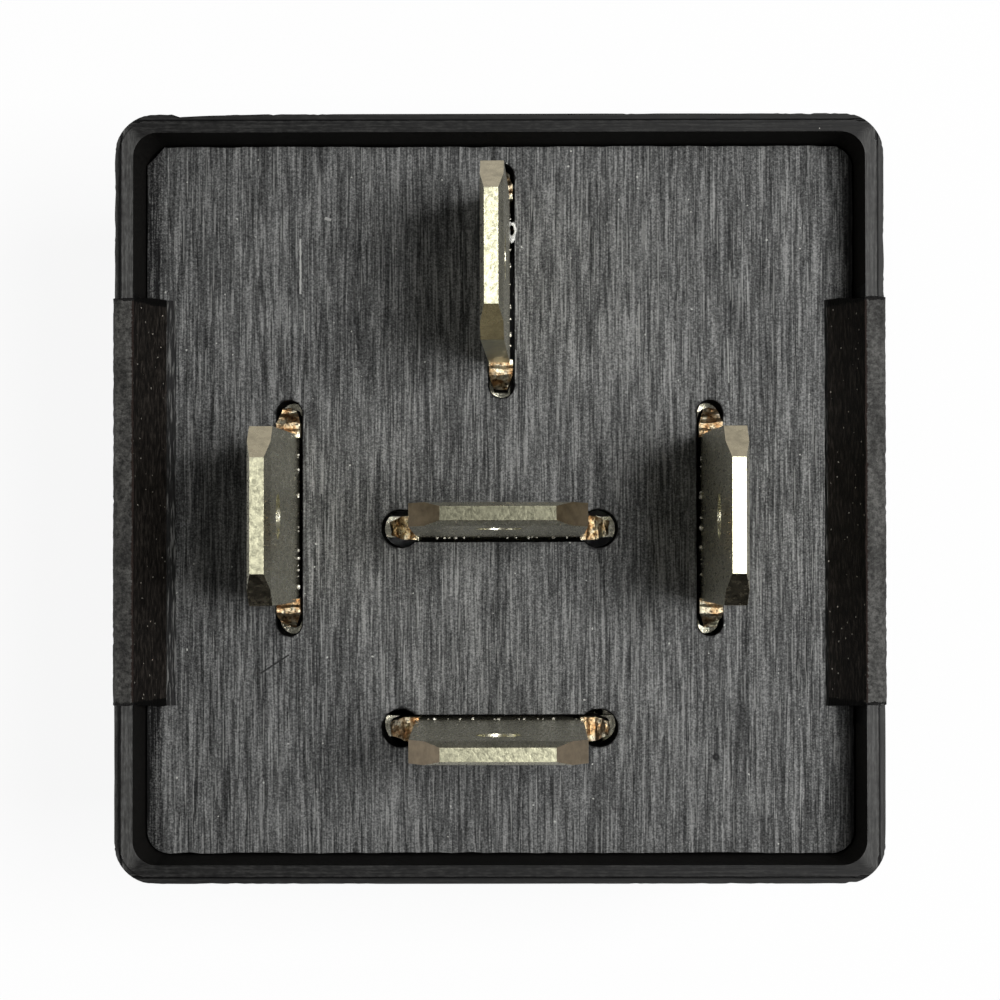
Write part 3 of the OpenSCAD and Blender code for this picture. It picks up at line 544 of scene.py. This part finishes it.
board, tree, shader, place = new_material("brushed_board", Specular_IOR_Level=0.13)
streaks = use(tree, drawn, Place=place, Fineness=22.0)
speckle = noise_at(tree, place, 14.0, 3.0, 0.7)
cloud = noise_at(tree, place, 0.3, 3.0)
tone_mask = maths(tree, "MULTIPLY", maths(tree, "SUBTRACT", cloud, 0.5), 0.15)
for across, along, share in ((20.0, 0.5, 0.2), (12.0, 1.1, 0.11), (5.0, 0.28, 0.09)):
    dashes = use(tree, brushed_hairs, Place=place, Across=across, Along=along)["Grey"]
    tone_mask = maths(tree, "ADD", tone_mask, maths(tree, "MULTIPLY", dashes, share))
tone_mask = maths(tree, "ADD", tone_mask, maths(tree, "MULTIPLY", speckle, 0.8))
tone = ramp(tree, tone_mask, (0.4, (0.008, 0.008, 0.0078)), (0.6, (0.06, 0.061, 0.06)),
            (0.84, (0.22, 0.22, 0.214)))
hairlines = use(tree, brushed_hairs, Place=place, Across=21.0, Along=0.75)["Grey"]
tone = blend_colours(tree, ramp(tree, hairlines, (0.92, 0.0), (0.97, 0.38)), tone, (0.28, 0.28, 0.27, 1))
tone = blend_colours(tree, ramp(tree, hairlines, (0.03, 0.6), (0.1, 0.0)), tone, (0.004, 0.004, 0.004, 1))
tone = blend_colours(tree, maths(tree, "MULTIPLY", streaks["Lines"], 0.3), tone, (0.22, 0.22, 0.21, 1))
parts = add_node(tree, "SeparateXYZ", {0: place}).outputs
edge_place = maths(tree, "ADD", parts[0], maths(tree, "MULTIPLY", speckle, 0.1))
# Painted shade: a strip along the board's −X edge is painted near black, with the marks of its grain left in
# it
left_edge_shade = ramp(tree, maths(tree, "ADD", edge_place, 13.5), (0.68, 1.0), (0.82, 0.0))
slope_marks = ramp(tree, tone_mask, (0.5, 1.0), (0.8, 0.35))
tone = blend_colours(tree, maths(tree, "MULTIPLY", left_edge_shade, slope_marks), tone, (0.004, 0.004, 0.004, 1))
# Painted shade: the board darkens towards its +X edge, as the shade of its rounded edge beside the rim
right_edge_shade = ramp(tree, maths(tree, "SUBTRACT", edge_place, 12.5), (0.7, 0.0), (0.85, 0.85))
tone = blend_colours(tree, right_edge_shade, tone, (0.006, 0.006, 0.006, 1))
# The punch chipped the board round the ends of each slot
nearest = None
for mount in frame["record"]["mounts"]:
    if mount["kind"] != "slide":
        continue
    across_x = mount["name"] in ("blade_87", "blade_87a")
    gap_side = SLOT_GAP_SIDE[mount["name"]]
    for end in (-1, 1):
        along, off = (CROSS_END, CROSS_END_R) if across_x else (SLOT_END, SLOT_END_R)
        shift = (end * along, gap_side * SLOT_OFF) if across_x else (gap_side * SLOT_OFF, end * along)
        centre = (mount["pos_m"][0] / MM + shift[0], mount["pos_m"][1] / MM + shift[1], plate_z)
        apart = add_node(tree, "VectorMath", {0: place, 1: centre}, operation="DISTANCE").outputs["Value"]
        beyond = maths(tree, "SUBTRACT", apart, off)
        nearest = beyond if nearest is None else maths(tree, "MINIMUM", nearest, beyond)
chipped = maths(tree, "ADD", nearest, maths(tree, "MULTIPLY", noise_at(tree, place, 5.0, 4.0, 0.6), 0.5))
tone = blend_colours(tree, ramp(tree, chipped, (0.27, 1.0), (0.37, 0.0)), tone, (0.003, 0.003, 0.003, 1))
uneven = noise_at(tree, place, 9.0, 2.0)
for x, y, turn, length, width, shade in (
    (-7.56, 7.8, 0.0, 2.1, 0.07, 0.3), (-7.4, 6.3, 0.02, 0.9, 0.05, 0.2), (5.3, 5.8, 0.0, 1.6, 0.05, 0.2),
    (-8.0, -5.9, 2.15, 1.3, 0.06, 0.012), (8.7, 4.4, 0.02, 1.7, 0.05, 0.22),
    (-6.4, 10.6, 1.2, 0.25, 0.1, 0.25),
    (0.6, 12.1, 1.05, 0.95, 0.24, 0.004),
):
    mark = use(tree, scratch, Place=place, Uneven=uneven, X=x, Y=y, Turn=-turn, Length=length, Width=width)
    tone = blend_colours(tree, mark["Mask"], tone, (shade, shade, shade * 0.95, 1))
dust = use(tree, specks, Place=place, Spacing=0.75, Size=0.035, Share=0.8)["Mask"]
tone = blend_colours(tree, maths(tree, "MULTIPLY", dust, 0.8), tone, (0.42, 0.42, 0.39, 1))
lint_place = stretched(tree, place, 0.8, 1.3, 1.0)
lint = use(tree, specks, Place=lint_place, Spacing=2.3, Size=0.075, Share=0.3)["Mask"]
tone = blend_colours(tree, lint, tone, (0.5, 0.5, 0.46, 1))
# A pin hole in the board, painted as a dark ring: painted shade of a hole that is not modelled
pin_hole = add_node(tree, "VectorMath", {0: place, 1: PIN_HOLE}, operation="DISTANCE").outputs["Value"]
tone = blend_colours(tree, ramp(tree, pin_hole, (0.03, 0.3), (0.05, 1.0), (0.12, 1.0), (0.15, 0.0)),
                     tone, (0.003, 0.003, 0.003, 1))
paint(tree, shader, tone, ramp(tree, tone_mask, (0.45, 0.6), (0.8, 0.38)), tone_mask, 0.012)

punched, tree, shader, place = new_material("punched_board_edge", Specular_IOR_Level=0.05)
ragged_noise = noise_at(tree, place, 12.0, 3.0, 0.7)
tone = ramp(tree, ragged_noise, (0.5, (0.0012, 0.0012, 0.0012)), (0.7, (0.005, 0.005, 0.0045)),
            (0.8, (0.1, 0.095, 0.08)))
paint(tree, shader, tone, ramp(tree, ragged_noise, (0.3, 0.6), (0.7, 0.85)), ragged_noise, 0.03)

plate.data.materials.append(board)
plate.data.materials.append(punched)
for face in plate.data.polygons:
    if face.normal.z < 0.9:
        face.material_index = 1
settle(plate, "housing", "board", "base_plate")


# ---------------------------------------------------------------------------
# Terminals: stamped from 0.8 mm brass sheet and tin-plated, pushed through
# the slots from inside and staked: a punch spread an ear at each end.
# ---------------------------------------------------------------------------
BLADE_HALF = 3.15
BLADE_T = 0.8
EAR_END = 4.2
CUT_H = 1.42
TIP_LAND = 0.12
NECK_DEPTH = 0.3
board_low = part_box("base_plate")[0].z / MM
ALONG_X = ("terminal_87", "terminal_87a")

tin, tree, shader, place = new_material("tin_plate", Metallic=1.0)
frost = noise_at(tree, stretched(tree, place, 1.0, 1.0, 0.14), 10.0, 4.0, 0.7)
stain = noise_at(tree, place, 0.9, 4.0, 0.6)
tone = ramp(tree, stain, (0.35, (0.66, 0.63, 0.48)), (0.52, (0.85, 0.82, 0.66)), (0.7, (0.6, 0.56, 0.4)))
tone = blend_colours(tree, ramp(tree, frost, (0.4, 0.55), (0.5, 0.0)), tone, (0.2, 0.19, 0.15, 1))
spots = use(tree, specks, Place=place, Spacing=0.5, Size=0.045, Share=0.25)["Mask"]
tone = blend_colours(tree, maths(tree, "MULTIPLY", spots, 0.7), tone, (0.9, 0.87, 0.74, 1))
paint(tree, shader, tone, ramp(tree, frost, (0.35, 0.4), (0.65, 0.22)), frost, 0.012)


def sheared(name, shine, tint, polish, coarseness=7.0):
    """A sheared edge with plating dragged over it, by how bright, warm and smooth it is."""
    made, tree, shader, place = new_material(name, Metallic=1.0)
    ragged_noise = noise_at(tree, place, coarseness, 4.0, 0.6)
    low = tuple(0.75 * shine * part for part in tint)
    high = tuple(1.15 * shine * part for part in tint)
    tone = ramp(tree, ragged_noise, (0.34, low), (0.62, high))
    paint(tree, shader, tone, ramp(tree, ragged_noise, (0.35, polish), (0.7, polish + 0.12)), ragged_noise, 0.008)
    return made


CREAM = (1.0, 0.97, 0.68)
# Painted reflection: each tip's brightness is set to the reflection of the lamps it shows, lower for the tips
# that catch less of the softboxes
TIP_PAINTED_REFLECTION = {
    "terminal_30": 0.52, "terminal_85": 0.52, "terminal_86": 0.38,
    "terminal_87": 0.26, "terminal_87a": 0.092,
}
tip_cuts = {node: sheared("cut_tip_" + node[9:], shine, CREAM, 0.3) for node, shine in TIP_PAINTED_REFLECTION.items()}
sheared_side = sheared("sheared_side", 0.6, CREAM, 0.3, 4.0)
# Painted reflection: the corner cuts of the blades along X are painted darker than the others, as the darker
# surroundings they reflect
lit_corner = sheared("lit_corner_cut", 0.36, (1.0, 0.88, 0.62), 0.2, 3.0)
painted_dark_corner = sheared("painted_dark_corner_cut", 0.2, (1.0, 0.8, 0.55), 0.3, 3.0)

worked, tree, shader, place = new_material("staked_raw_brass", Metallic=1.0)
crush = noise_at(tree, place, 9.0, 3.0, 0.65)
heat = noise_at(tree, place, 2.2, 3.0, 0.6)
tone = ramp(tree, heat, (0.38, (0.78, 0.72, 0.55)), (0.5, (0.6, 0.44, 0.25)), (0.62, (0.36, 0.19, 0.08)))
grime = ramp(tree, noise_at(tree, place, 9.0, 3.0, 0.7), (0.39, 1.0), (0.48, 0.0))
tone = blend_colours(tree, maths(tree, "MULTIPLY", grime, 0.8), tone, (0.05, 0.03, 0.015, 1))
paint(tree, shader, tone, ramp(tree, crush, (0.3, 0.26), (0.7, 0.45)), crush, 0.06)

# Painted shade: the blade down in its slot, below the board's top, is painted near black, as the shade it
# lies in
shaded_neck, tree, shader, place = new_material("neck_painted_shade", Metallic=0.6, Specular_IOR_Level=0.1)
neck_mottle = noise_at(tree, place, 5.0, 4.0, 0.6)
tone = ramp(tree, neck_mottle, (0.36, (0.004, 0.0035, 0.003)), (0.66, (0.03, 0.024, 0.017)))
paint(tree, shader, tone, ramp(tree, neck_mottle, (0.3, 0.55), (0.7, 0.75)), neck_mottle, 0.02)


def make_terminal(node, centre):
    """One terminal with soft edges, plated cut ends and crumpled ears."""
    long_axis = 0 if node in ALONG_X else 1
    u_mid, v_mid = centre[long_axis], centre[1 - long_axis]

    def ear(p, n=None):
        return BLADE_HALF < abs(p[long_axis] - u_mid) < EAR_END and plate_z - 0.5 < p.z < plate_z + 0.5

    piece = copy_of(node, node.replace("terminal", "blade"))
    ear_cuts = [u_mid + end * u for end in (-1, 1) for u in steps(BLADE_HALF, EAR_END, 0.1)]
    slice_faces(piece, ear, long_axis, ear_cuts)
    slice_faces(piece, ear, 1 - long_axis, [v_mid + v for v in steps(-0.5, 0.5, 0.1)])
    slice_faces(piece, ear, 2, steps(plate_z - 0.4, plate_z + 0.5, 0.1))
    slice_faces(piece, lambda p, n: True, 2, [board_low])

    def crumple(p):
        if not ear(p):
            return Vector()
        # The ridge beside the blade stays straight, the outer end is crushed
        share = min(1.0, (abs(p[long_axis] - u_mid) - BLADE_HALF) / 0.3)
        move = Vector((grain(p, 0.3), grain(p, 0.3, 9.0), 1.4 * grain(p, 0.26, 5.0))) * 0.075
        move[1 - long_axis] *= 0.5
        return move * share

    nudge(piece, crumple)
    soften(piece, 0.08, 3, 32)
    # The blades along X get the corner cuts with the darker painted reflection
    corner = painted_dark_corner if node in ALONG_X else lit_corner
    for made in (tin, tip_cuts[node], corner, worked, shaded_neck, sheared_side):
        piece.data.materials.append(made)
    top = max(v.co.z for v in piece.data.vertices)
    for face in piece.data.polygons:
        p, n = face.center, face.normal
        # Faces down in the slot get the painted shade of the neck
        if board_low < p.z < plate_z - NECK_DEPTH:
            face.material_index = 4
        elif ear(p):
            face.material_index = 3
        elif p.z > top - TIP_LAND and n.z > 0.5:
            face.material_index = 1
        elif p.z > top - CUT_H and abs(n[long_axis]) > 0.5 and n.z > 0.3:
            face.material_index = 2
        elif abs(n[long_axis]) > 0.7:
            face.material_index = 5
    settle(piece, "housing", "tinned_brass", node)


for mount in frame["record"]["mounts"]:
    if mount["kind"] == "slide":
        make_terminal(mount["name"].replace("blade", "terminal"), [c / MM for c in mount["pos_m"]])


# ---------------------------------------------------------------------------
# Flux residue: a white crust that dried across the gap beside the common
# terminal, in the shape of a U.
# ---------------------------------------------------------------------------
RESIDUE_PLACE = (0.47, 10.2)
RESIDUE_OPEN = 0.3
RESIDUE_CLIMB = 0.5

bpy.ops.mesh.primitive_torus_add(major_segments=48, minor_segments=12, major_radius=0.13, minor_radius=0.055,
                                 location=(0, 0, 0))
residue = bpy.context.active_object
residue.name = "flux_residue"
bpy.ops.object.mode_set(mode="EDIT")
bpy.ops.mesh.select_all(action="SELECT")
bpy.ops.transform.resize(value=(1.0, 2.6, 0.9))
bpy.ops.mesh.bisect(plane_co=(0, RESIDUE_OPEN, 0), plane_no=(0, 1, 0), use_fill=True, clear_outer=True)
bpy.ops.mesh.select_all(action="SELECT")
bpy.ops.mesh.subdivide(number_cuts=1)
bpy.ops.transform.translate(value=(*RESIDUE_PLACE, plate_z + 0.02))
bpy.ops.object.mode_set(mode="OBJECT")
nudge(residue, lambda p: Vector((grain(p, 0.12), grain(p, 0.12, 4.0), grain(p, 0.1, 8.0))) * 0.035)
# One arm climbs the face of the blade, the other lies on the board
nudge(residue, lambda p: Vector((0, 0, RESIDUE_CLIMB * min(1.0, max(0.0, (RESIDUE_PLACE[0] - p.x) / 0.1)))))
bpy.ops.object.shade_smooth_by_angle(angle=math.radians(60))
crust, tree, shader, place = new_material("dried_flux", Specular_IOR_Level=0.5)
flakes = noise_at(tree, place, 9.0, 4.0, 0.65)
tone = ramp(tree, flakes, (0.36, (0.12, 0.12, 0.11)), (0.5, (0.5, 0.5, 0.47)), (0.66, (0.8, 0.8, 0.77)))
paint(tree, shader, tone, ramp(tree, flakes, (0.3, 0.2), (0.7, 0.5)), flakes, 0.02)
residue.data.materials.append(crust)
settle(residue, "housing", None)


# ---------------------------------------------------------------------------
# Scraped tin: crumbs that the slots' edges shaved off the blades as they were
# pushed through, stuck along the foot of each blade.
# ---------------------------------------------------------------------------
CRUMBS = 15
CRUMB_R = 0.055
CRUMB_RUN = 5.2
CRUMB_STRAY = 1.7

scraped, tree, shader, place = new_material("scraped_tin", Metallic=0.4, Specular_IOR_Level=0.6)
facets = noise_at(tree, place, 12.0, 3.0, 0.6)
tone = ramp(tree, facets, (0.35, (0.3, 0.28, 0.22)), (0.6, (0.85, 0.83, 0.74)))
paint(tree, shader, tone, ramp(tree, facets, (0.3, 0.3), (0.7, 0.5)), facets, 0.02)

bpy.ops.mesh.primitive_ico_sphere_add(subdivisions=2, radius=CRUMB_R, location=(0, 0, 0))
first_crumb = bpy.context.active_object
crumbs = []
for mount in frame["record"]["mounts"]:
    if mount["kind"] != "slide":
        continue
    foot = [c / MM for c in mount["pos_m"]]
    long_axis = 0 if mount["name"].replace("blade", "terminal") in ALONG_X else 1
    for i in range(CRUMBS):
        spread = grain(Vector((i * 1.7, foot[0], foot[1])), 1.0, 6.0)
        size = 0.3 + 1.3 * abs(grain(Vector((foot[0], i * 2.3, foot[1])), 1.0, 3.0)) * 2
        at = [0.0, 0.0, plate_z + 0.02]
        at[long_axis] = foot[long_axis] + (i / (CRUMBS - 1) - 0.5) * CRUMB_RUN + CRUMB_STRAY * spread
        at[1 - long_axis] = foot[1 - long_axis] + SLOT_GAP_SIDE[mount["name"]] * (BLADE_T / 2 + 0.01)
        crumb = first_crumb.copy()
        crumb.data = first_crumb.data.copy()
        bpy.context.scene.collection.objects.link(crumb)
        for vertex in crumb.data.vertices:
            vertex.co = vertex.co * size + Vector(at)
        nudge(crumb, lambda p: Vector((grain(p, 0.08), grain(p, 0.08, 4.0), grain(p, 0.08, 8.0))) * 0.03)
        crumbs.append(crumb)
select_only(first_crumb)
bpy.ops.object.delete()
scrapings = crumbs[0]
scrapings.name = "scraped_crumbs"
select_only(scrapings)
for crumb in crumbs[1:]:
    crumb.select_set(True)
bpy.ops.object.join()
scrapings.data.materials.append(scraped)
settle(scrapings, "housing", None)


# ---------------------------------------------------------------------------
# Yoke and core: an angle of soft iron that carries everything, and the round
# core that is riveted into its foot, both zinc-plated.
# ---------------------------------------------------------------------------
zinc, tree, shader, place = new_material("zinc_plated_iron", Metallic=1.0)
rolled = noise_at(tree, stretched(tree, place, 1.0, 0.1, 0.1), 5.0, 4.0, 0.6)
bloom = noise_at(tree, place, 0.45, 4.0, 0.6)
tone = ramp(tree, bloom, (0.34, (0.24, 0.245, 0.26)), (0.52, (0.34, 0.345, 0.35)), (0.7, (0.38, 0.36, 0.3)))
pits = use(tree, specks, Place=place, Spacing=0.7, Size=0.05, Share=0.3)["Mask"]
tone = blend_colours(tree, maths(tree, "MULTIPLY", pits, 0.7), tone, (0.12, 0.11, 0.1, 1))
paint(tree, shader, tone, ramp(tree, rolled, (0.3, 0.4), (0.7, 0.58)), rolled, 0.006)

turned_iron, tree, shader, place = new_material("turned_iron", Metallic=1.0)
core_mid = (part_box("core")[0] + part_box("core")[1]) / 2 / MM
flat_place = stretched(tree, place, 1.0, 1.0, 0.0)
from_axis = add_node(tree, "VectorMath", {0: flat_place, 1: (core_mid.x, core_mid.y, 0)},
                     operation="DISTANCE").outputs["Value"]
rings = noise_at(tree, add_node(tree, "CombineXYZ", {0: from_axis, 1: 0.0}).outputs[0], 9.0, 3.0, 0.6)
tone = ramp(tree, rings, (0.34, (0.38, 0.38, 0.39)), (0.66, (0.6, 0.6, 0.6)))
paint(tree, shader, tone, ramp(tree, rings, (0.3, 0.22), (0.7, 0.4)), rings, 0.008)


def dress(node, name, width, body, slot, material, angle=35):
    """A copy of a CAD node with soft edges and one material."""
    piece = copy_of(node, name)
    soften(piece, width, 2, angle)
    piece.data.materials.append(material)
    settle(piece, body, slot, node)
    return piece


dress("yoke", "yoke_angle", 0.08, "housing", "iron", zinc)
dress("core", "magnet_core", 0.06, "housing", "iron", turned_iron)


# ---------------------------------------------------------------------------
# Coil: a bobbin of natural glass-filled nylon with a winding of enamelled
# copper wire.  Each end of the wire is wrapped round a coil terminal's tail.
# ---------------------------------------------------------------------------
WIRE_D = 0.26
WIRE_PITCH = 0.27
TURN_STEPS = 72
LEAD_D = 0.3
WRAP_W, WRAP_L = 1.4, 3.0

nylon, tree, shader, place = new_material("natural_nylon", Specular_IOR_Level=0.45, Subsurface_Weight=0.15)
glass = noise_at(tree, stretched(tree, place, 1.0, 0.4, 1.0), 6.0, 4.0, 0.6)
mottle = noise_at(tree, place, 0.6, 3.0)
tone = ramp(tree, mottle, (0.35, (0.64, 0.57, 0.41)), (0.65, (0.76, 0.71, 0.57)))
tone = blend_colours(tree, ramp(tree, glass, (0.56, 0.0), (0.72, 0.4)), tone, (0.5, 0.42, 0.28, 1))
paint(tree, shader, tone, ramp(tree, glass, (0.3, 0.35), (0.7, 0.55)), glass, 0.01)
dress("bobbin", "coil_bobbin", 0.07, "housing", "bobbin_plastic", nylon)

enamel, tree, shader, place = new_material(
    "enamelled_copper_wire", Metallic=0.75, Coat_Weight=0.6, Coat_Roughness=0.12)
pulled = noise_at(tree, stretched(tree, place, 0.3, 0.3, 1.0), 4.0, 3.0, 0.6)
tone = ramp(tree, pulled, (0.34, (0.3, 0.08, 0.025)), (0.52, (0.48, 0.17, 0.06)), (0.7, (0.62, 0.28, 0.11)))
paint(tree, shader, tone, ramp(tree, pulled, (0.3, 0.24), (0.7, 0.4)), pulled, 0.004)

low, high = (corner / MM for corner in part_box("coil_winding"))
middle = (low + high) / 2
outer_r = (high.x - low.x) / 2
wire_path_r = outer_r - WIRE_D / 2
turns = math.floor((high.z - low.z) / WIRE_PITCH) - 1
bpy.ops.mesh.primitive_circle_add(vertices=8, radius=WIRE_D / 2, location=(0, 0, 0))
winding = bpy.context.active_object
winding.name = "coil_turns"
bpy.ops.object.mode_set(mode="EDIT")
bpy.ops.mesh.select_all(action="SELECT")
bpy.ops.transform.rotate(value=math.pi / 2, orient_axis="X", center_override=(0, 0, 0))
bpy.ops.transform.translate(value=(wire_path_r, 0, low.z + 0.6 * WIRE_PITCH))
bpy.ops.object.mode_set(mode="OBJECT")
screw = winding.modifiers.new("turns", "SCREW")
screw.axis = "Z"
screw.screw_offset = WIRE_PITCH
screw.iterations = turns
screw.steps = TURN_STEPS
screw.render_steps = TURN_STEPS
bpy.ops.object.modifier_apply(modifier=screw.name)
bpy.ops.object.mode_set(mode="EDIT")
bpy.ops.mesh.select_all(action="SELECT")
bpy.ops.mesh.fill_holes(sides=8)
bpy.ops.mesh.normals_make_consistent(inside=False)
bpy.ops.transform.translate(value=(middle.x, middle.y, 0))
bpy.ops.object.mode_set(mode="OBJECT")

# The turns beneath show only as a sleeve, as wide as the middle of the last layer
sleeve = copy_of("coil_winding", "coil_sleeve")


def inside_last_layer(p):
    out = Vector((p.x - middle.x, p.y - middle.y, 0))
    return -out.normalized() * WIRE_D / 2 if out.length > outer_r - 0.1 else Vector()


nudge(sleeve, inside_last_layer)
bpy.ops.object.shade_smooth_by_angle(angle=math.radians(40))
select_only(winding)
bpy.ops.object.shade_smooth_by_angle(angle=math.radians(60))
sleeve.select_set(True)
bpy.ops.object.join()
winding.data.materials.append(enamel)
settle(winding, "housing", "enamelled_copper", "coil_winding")

for node in ("coil_lead_85", "coil_lead_86"):
    lead = copy_of(node, node.replace("coil_lead", "wrapped_lead"))
    low, high = (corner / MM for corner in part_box(node))
    wire_z = (low.z + high.z) / 2
    seams = [wire_z - LEAD_D / 2, wire_z + LEAD_D / 2]
    wrap_x = (high.x - WRAP_W / 2) if high.x > 0 else (low.x + WRAP_W / 2)
    wrap_y = high.y - WRAP_L / 2
    slice_faces(lead, lambda p, n: abs(n.z) < 0.5, 2, [z + off for z in seams for off in (-0.06, 0, 0.06)])

    def groove(p):
        at_seam = min(abs(p.z - z) for z in seams) < 0.005
        out = Vector((p.x - wrap_x, p.y - wrap_y, 0))
        on_wrap = abs(out.x) > WRAP_W / 2 - 0.02 or abs(out.y) > WRAP_L / 2 - 0.02
        in_width = abs(out.x) < WRAP_W / 2 + 0.02
        return -out.normalized() * 0.07 if at_seam and on_wrap and in_width else Vector()

    nudge(lead, groove)
    soften(lead, 0.05, 2)
    lead.data.materials.append(enamel)
    settle(lead, "housing", "enamelled_copper", node)


upset_brass, tree, shader, place = new_material("upset_brass", Metallic=1.0)
peened = noise_at(tree, place, 4.5, 4.0, 0.6)
tarnish = noise_at(tree, place, 1.1, 3.0, 0.6)
tone = ramp(tree, tarnish, (0.34, (0.5, 0.36, 0.15)), (0.56, (0.72, 0.58, 0.3)), (0.72, (0.78, 0.68, 0.42)))
paint(tree, shader, tone, ramp(tree, peened, (0.3, 0.2), (0.7, 0.42)), peened, 0.03)

leaf, tree, shader, place = new_material("rolled_copper_alloy", Metallic=1.0)
rolled = use(tree, drawn, Place=place, Fineness=6.0)
heat = noise_at(tree, place, 0.6, 3.0, 0.6)
tone = ramp(tree, heat, (0.34, (0.58, 0.32, 0.14)), (0.52, (0.68, 0.44, 0.23)), (0.7, (0.72, 0.52, 0.3)))
tone = blend_colours(tree, maths(tree, "MULTIPLY", rolled["Lines"], 0.4), tone, (0.85, 0.66, 0.42, 1))
paint(tree, shader, tone, ramp(tree, rolled["Fine"], (0.3, 0.2), (0.7, 0.38)), rolled["Fine"], 0.004)

silver, tree, shader, place = new_material("silver_contact_alloy", Metallic=1.0)
contact_mid = (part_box("contact_87")[0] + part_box("contact_87")[1]) / 2 / MM
flat_place = stretched(tree, place, 1.0, 1.0, 0.0)
from_axis = add_node(tree, "VectorMath", {0: flat_place, 1: (contact_mid.x, contact_mid.y, 0)},
                     operation="DISTANCE").outputs["Value"]
rings = noise_at(tree, add_node(tree, "CombineXYZ", {0: from_axis, 1: 0.0}).outputs[0], 12.0, 3.0, 0.6)
arc_marks = noise_at(tree, place, 5.0, 4.0, 0.7)
tone = ramp(tree, rings, (0.34, (0.66, 0.64, 0.6)), (0.66, (0.85, 0.83, 0.79)))
outwards = maths(tree, "MULTIPLY", from_axis, 0.12)
burnt = ramp(tree, maths(tree, "ADD", arc_marks, outwards), (0.36, 1.0), (0.5, 0.0))
tone = blend_colours(tree, maths(tree, "MULTIPLY", burnt, 0.7), tone, (0.16, 0.12, 0.1, 1))
paint(tree, shader, tone, ramp(tree, arc_marks, (0.3, 0.45), (0.6, 0.2)), arc_marks, 0.012)

dress("armature", "armature_flat", 0.08, "swing_armature", "iron", zinc)
dress("armature_rivets", "armature_rivet_pair", 0.06, "swing_armature", "rivet_brass", upset_brass)
dress("terminal_rivet", "yoke_terminal_rivet", 0.06, "housing", "rivet_brass", upset_brass)
dress("spring_rivets", "yoke_spring_rivets", 0.06, "housing", "rivet_brass", upset_brass)

spring = copy_of("contact_spring", "leaf_spring")
slice_faces(spring, lambda p, n: True, 2, steps(5.2, 8.6, 0.2))
soften(spring, 0.03, 2)
spring.data.materials.append(leaf)
settle(spring, None, "spring_bronze", "contact_spring")
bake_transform(spring)

dress("moving_contact", "moving_contact_button", 0.04, "swing_armature", "contact_silver", silver)
dress("contact_87", "open_side_contact", 0.05, "housing", "contact_silver", silver)
dress("contact_87a", "closed_side_contact", 0.05, "housing", "contact_silver", silver)


# ---------------------------------------------------------------------------
# Floor, lamps and camera: a plain pale floor under soft studio light, with
# the camera above the terminals, a little off the middle.
# ---------------------------------------------------------------------------
bpy.ops.mesh.primitive_plane_add(size=4, location=(0, 0, -0.0001))
floor = bpy.context.active_object
floor.name = "floor"
made, tree, shader, place = new_material("pale_floor", Specular_IOR_Level=0.0, Roughness=0.9)
shader.inputs["Base Color"].default_value = (0.9, 0.9, 0.9, 1)
paths = add_node(tree, "LightPath").outputs
mirrored = maths(tree, "MAXIMUM", paths["Is Glossy Ray"], paths["Is Transmission Ray"])
seen = maths(tree, "MAXIMUM", paths["Is Camera Ray"], mirrored)
glow = add_node(tree, "Emission", {"Color": (1, 1, 1, 1), "Strength": 1.0})
mix = add_node(tree, "MixShader",
               {0: maths(tree, "MULTIPLY", seen, 0.9), 1: shader.outputs[0], 2: glow.outputs[0]})
tree.links.new(mix.outputs[0], tree.nodes["Material Output"].inputs["Surface"])
floor.data.materials.append(made)


def lamp(name, place, size, power, aim=(0, 0, 0.02)):
    data = bpy.data.lights.new(name, "AREA")
    data.size = size
    data.energy = power
    made = bpy.data.objects.new(name, data)
    bpy.context.scene.collection.objects.link(made)
    made.location = place
    made.rotation_euler = (Vector(aim) - Vector(place)).to_track_quat("-Z", "Y").to_euler()


lamp("key_softbox", (0.06, 0.005, 0.188), 0.05, 0.325)
lamp("side_fill", (-0.15, -0.002, 0.09), 0.06, 0.045)
lamp("overhead_softbox", (0.0, 0.0, 0.48), 0.2, 0.08)

# A black flag in front, which only reflections see
bpy.ops.mesh.primitive_plane_add(size=0.3, location=(0, -0.07, 0.06), rotation=(math.pi / 2, 0, 0))
flag = bpy.context.active_object
flag.name = "front_flag"
made, tree, shader, place = new_material("black_felt", Specular_IOR_Level=0.0, Roughness=1.0)
nap = noise_at(tree, place, 2.0, 3.0)
tree.links.new(ramp(tree, nap, (0.3, 0.004), (0.7, 0.012)), shader.inputs["Base Color"])
flag.data.materials.append(made)
flag.visible_camera = False
flag.visible_diffuse = False
flag.visible_shadow = False

world = bpy.data.worlds.new("studio")
bpy.context.scene.world = world
world.use_nodes = True
world.node_tree.nodes["Background"].inputs["Color"].default_value = (1, 1, 1, 1)
world.node_tree.nodes["Background"].inputs["Strength"].default_value = 0.18

data = bpy.data.cameras.new("camera")
data.sensor_width = 36
data.lens = 87.3
data.clip_start = 0.005
camera = bpy.data.objects.new("camera", data)
bpy.context.scene.collection.objects.link(camera)
camera.location = (0.00049, -0.00142, 0.1146)
camera.rotation_euler = (0.015, 0.0052, -0.0013)
bpy.context.scene.camera = camera

view = bpy.context.scene.view_settings
view.view_transform = "Standard"
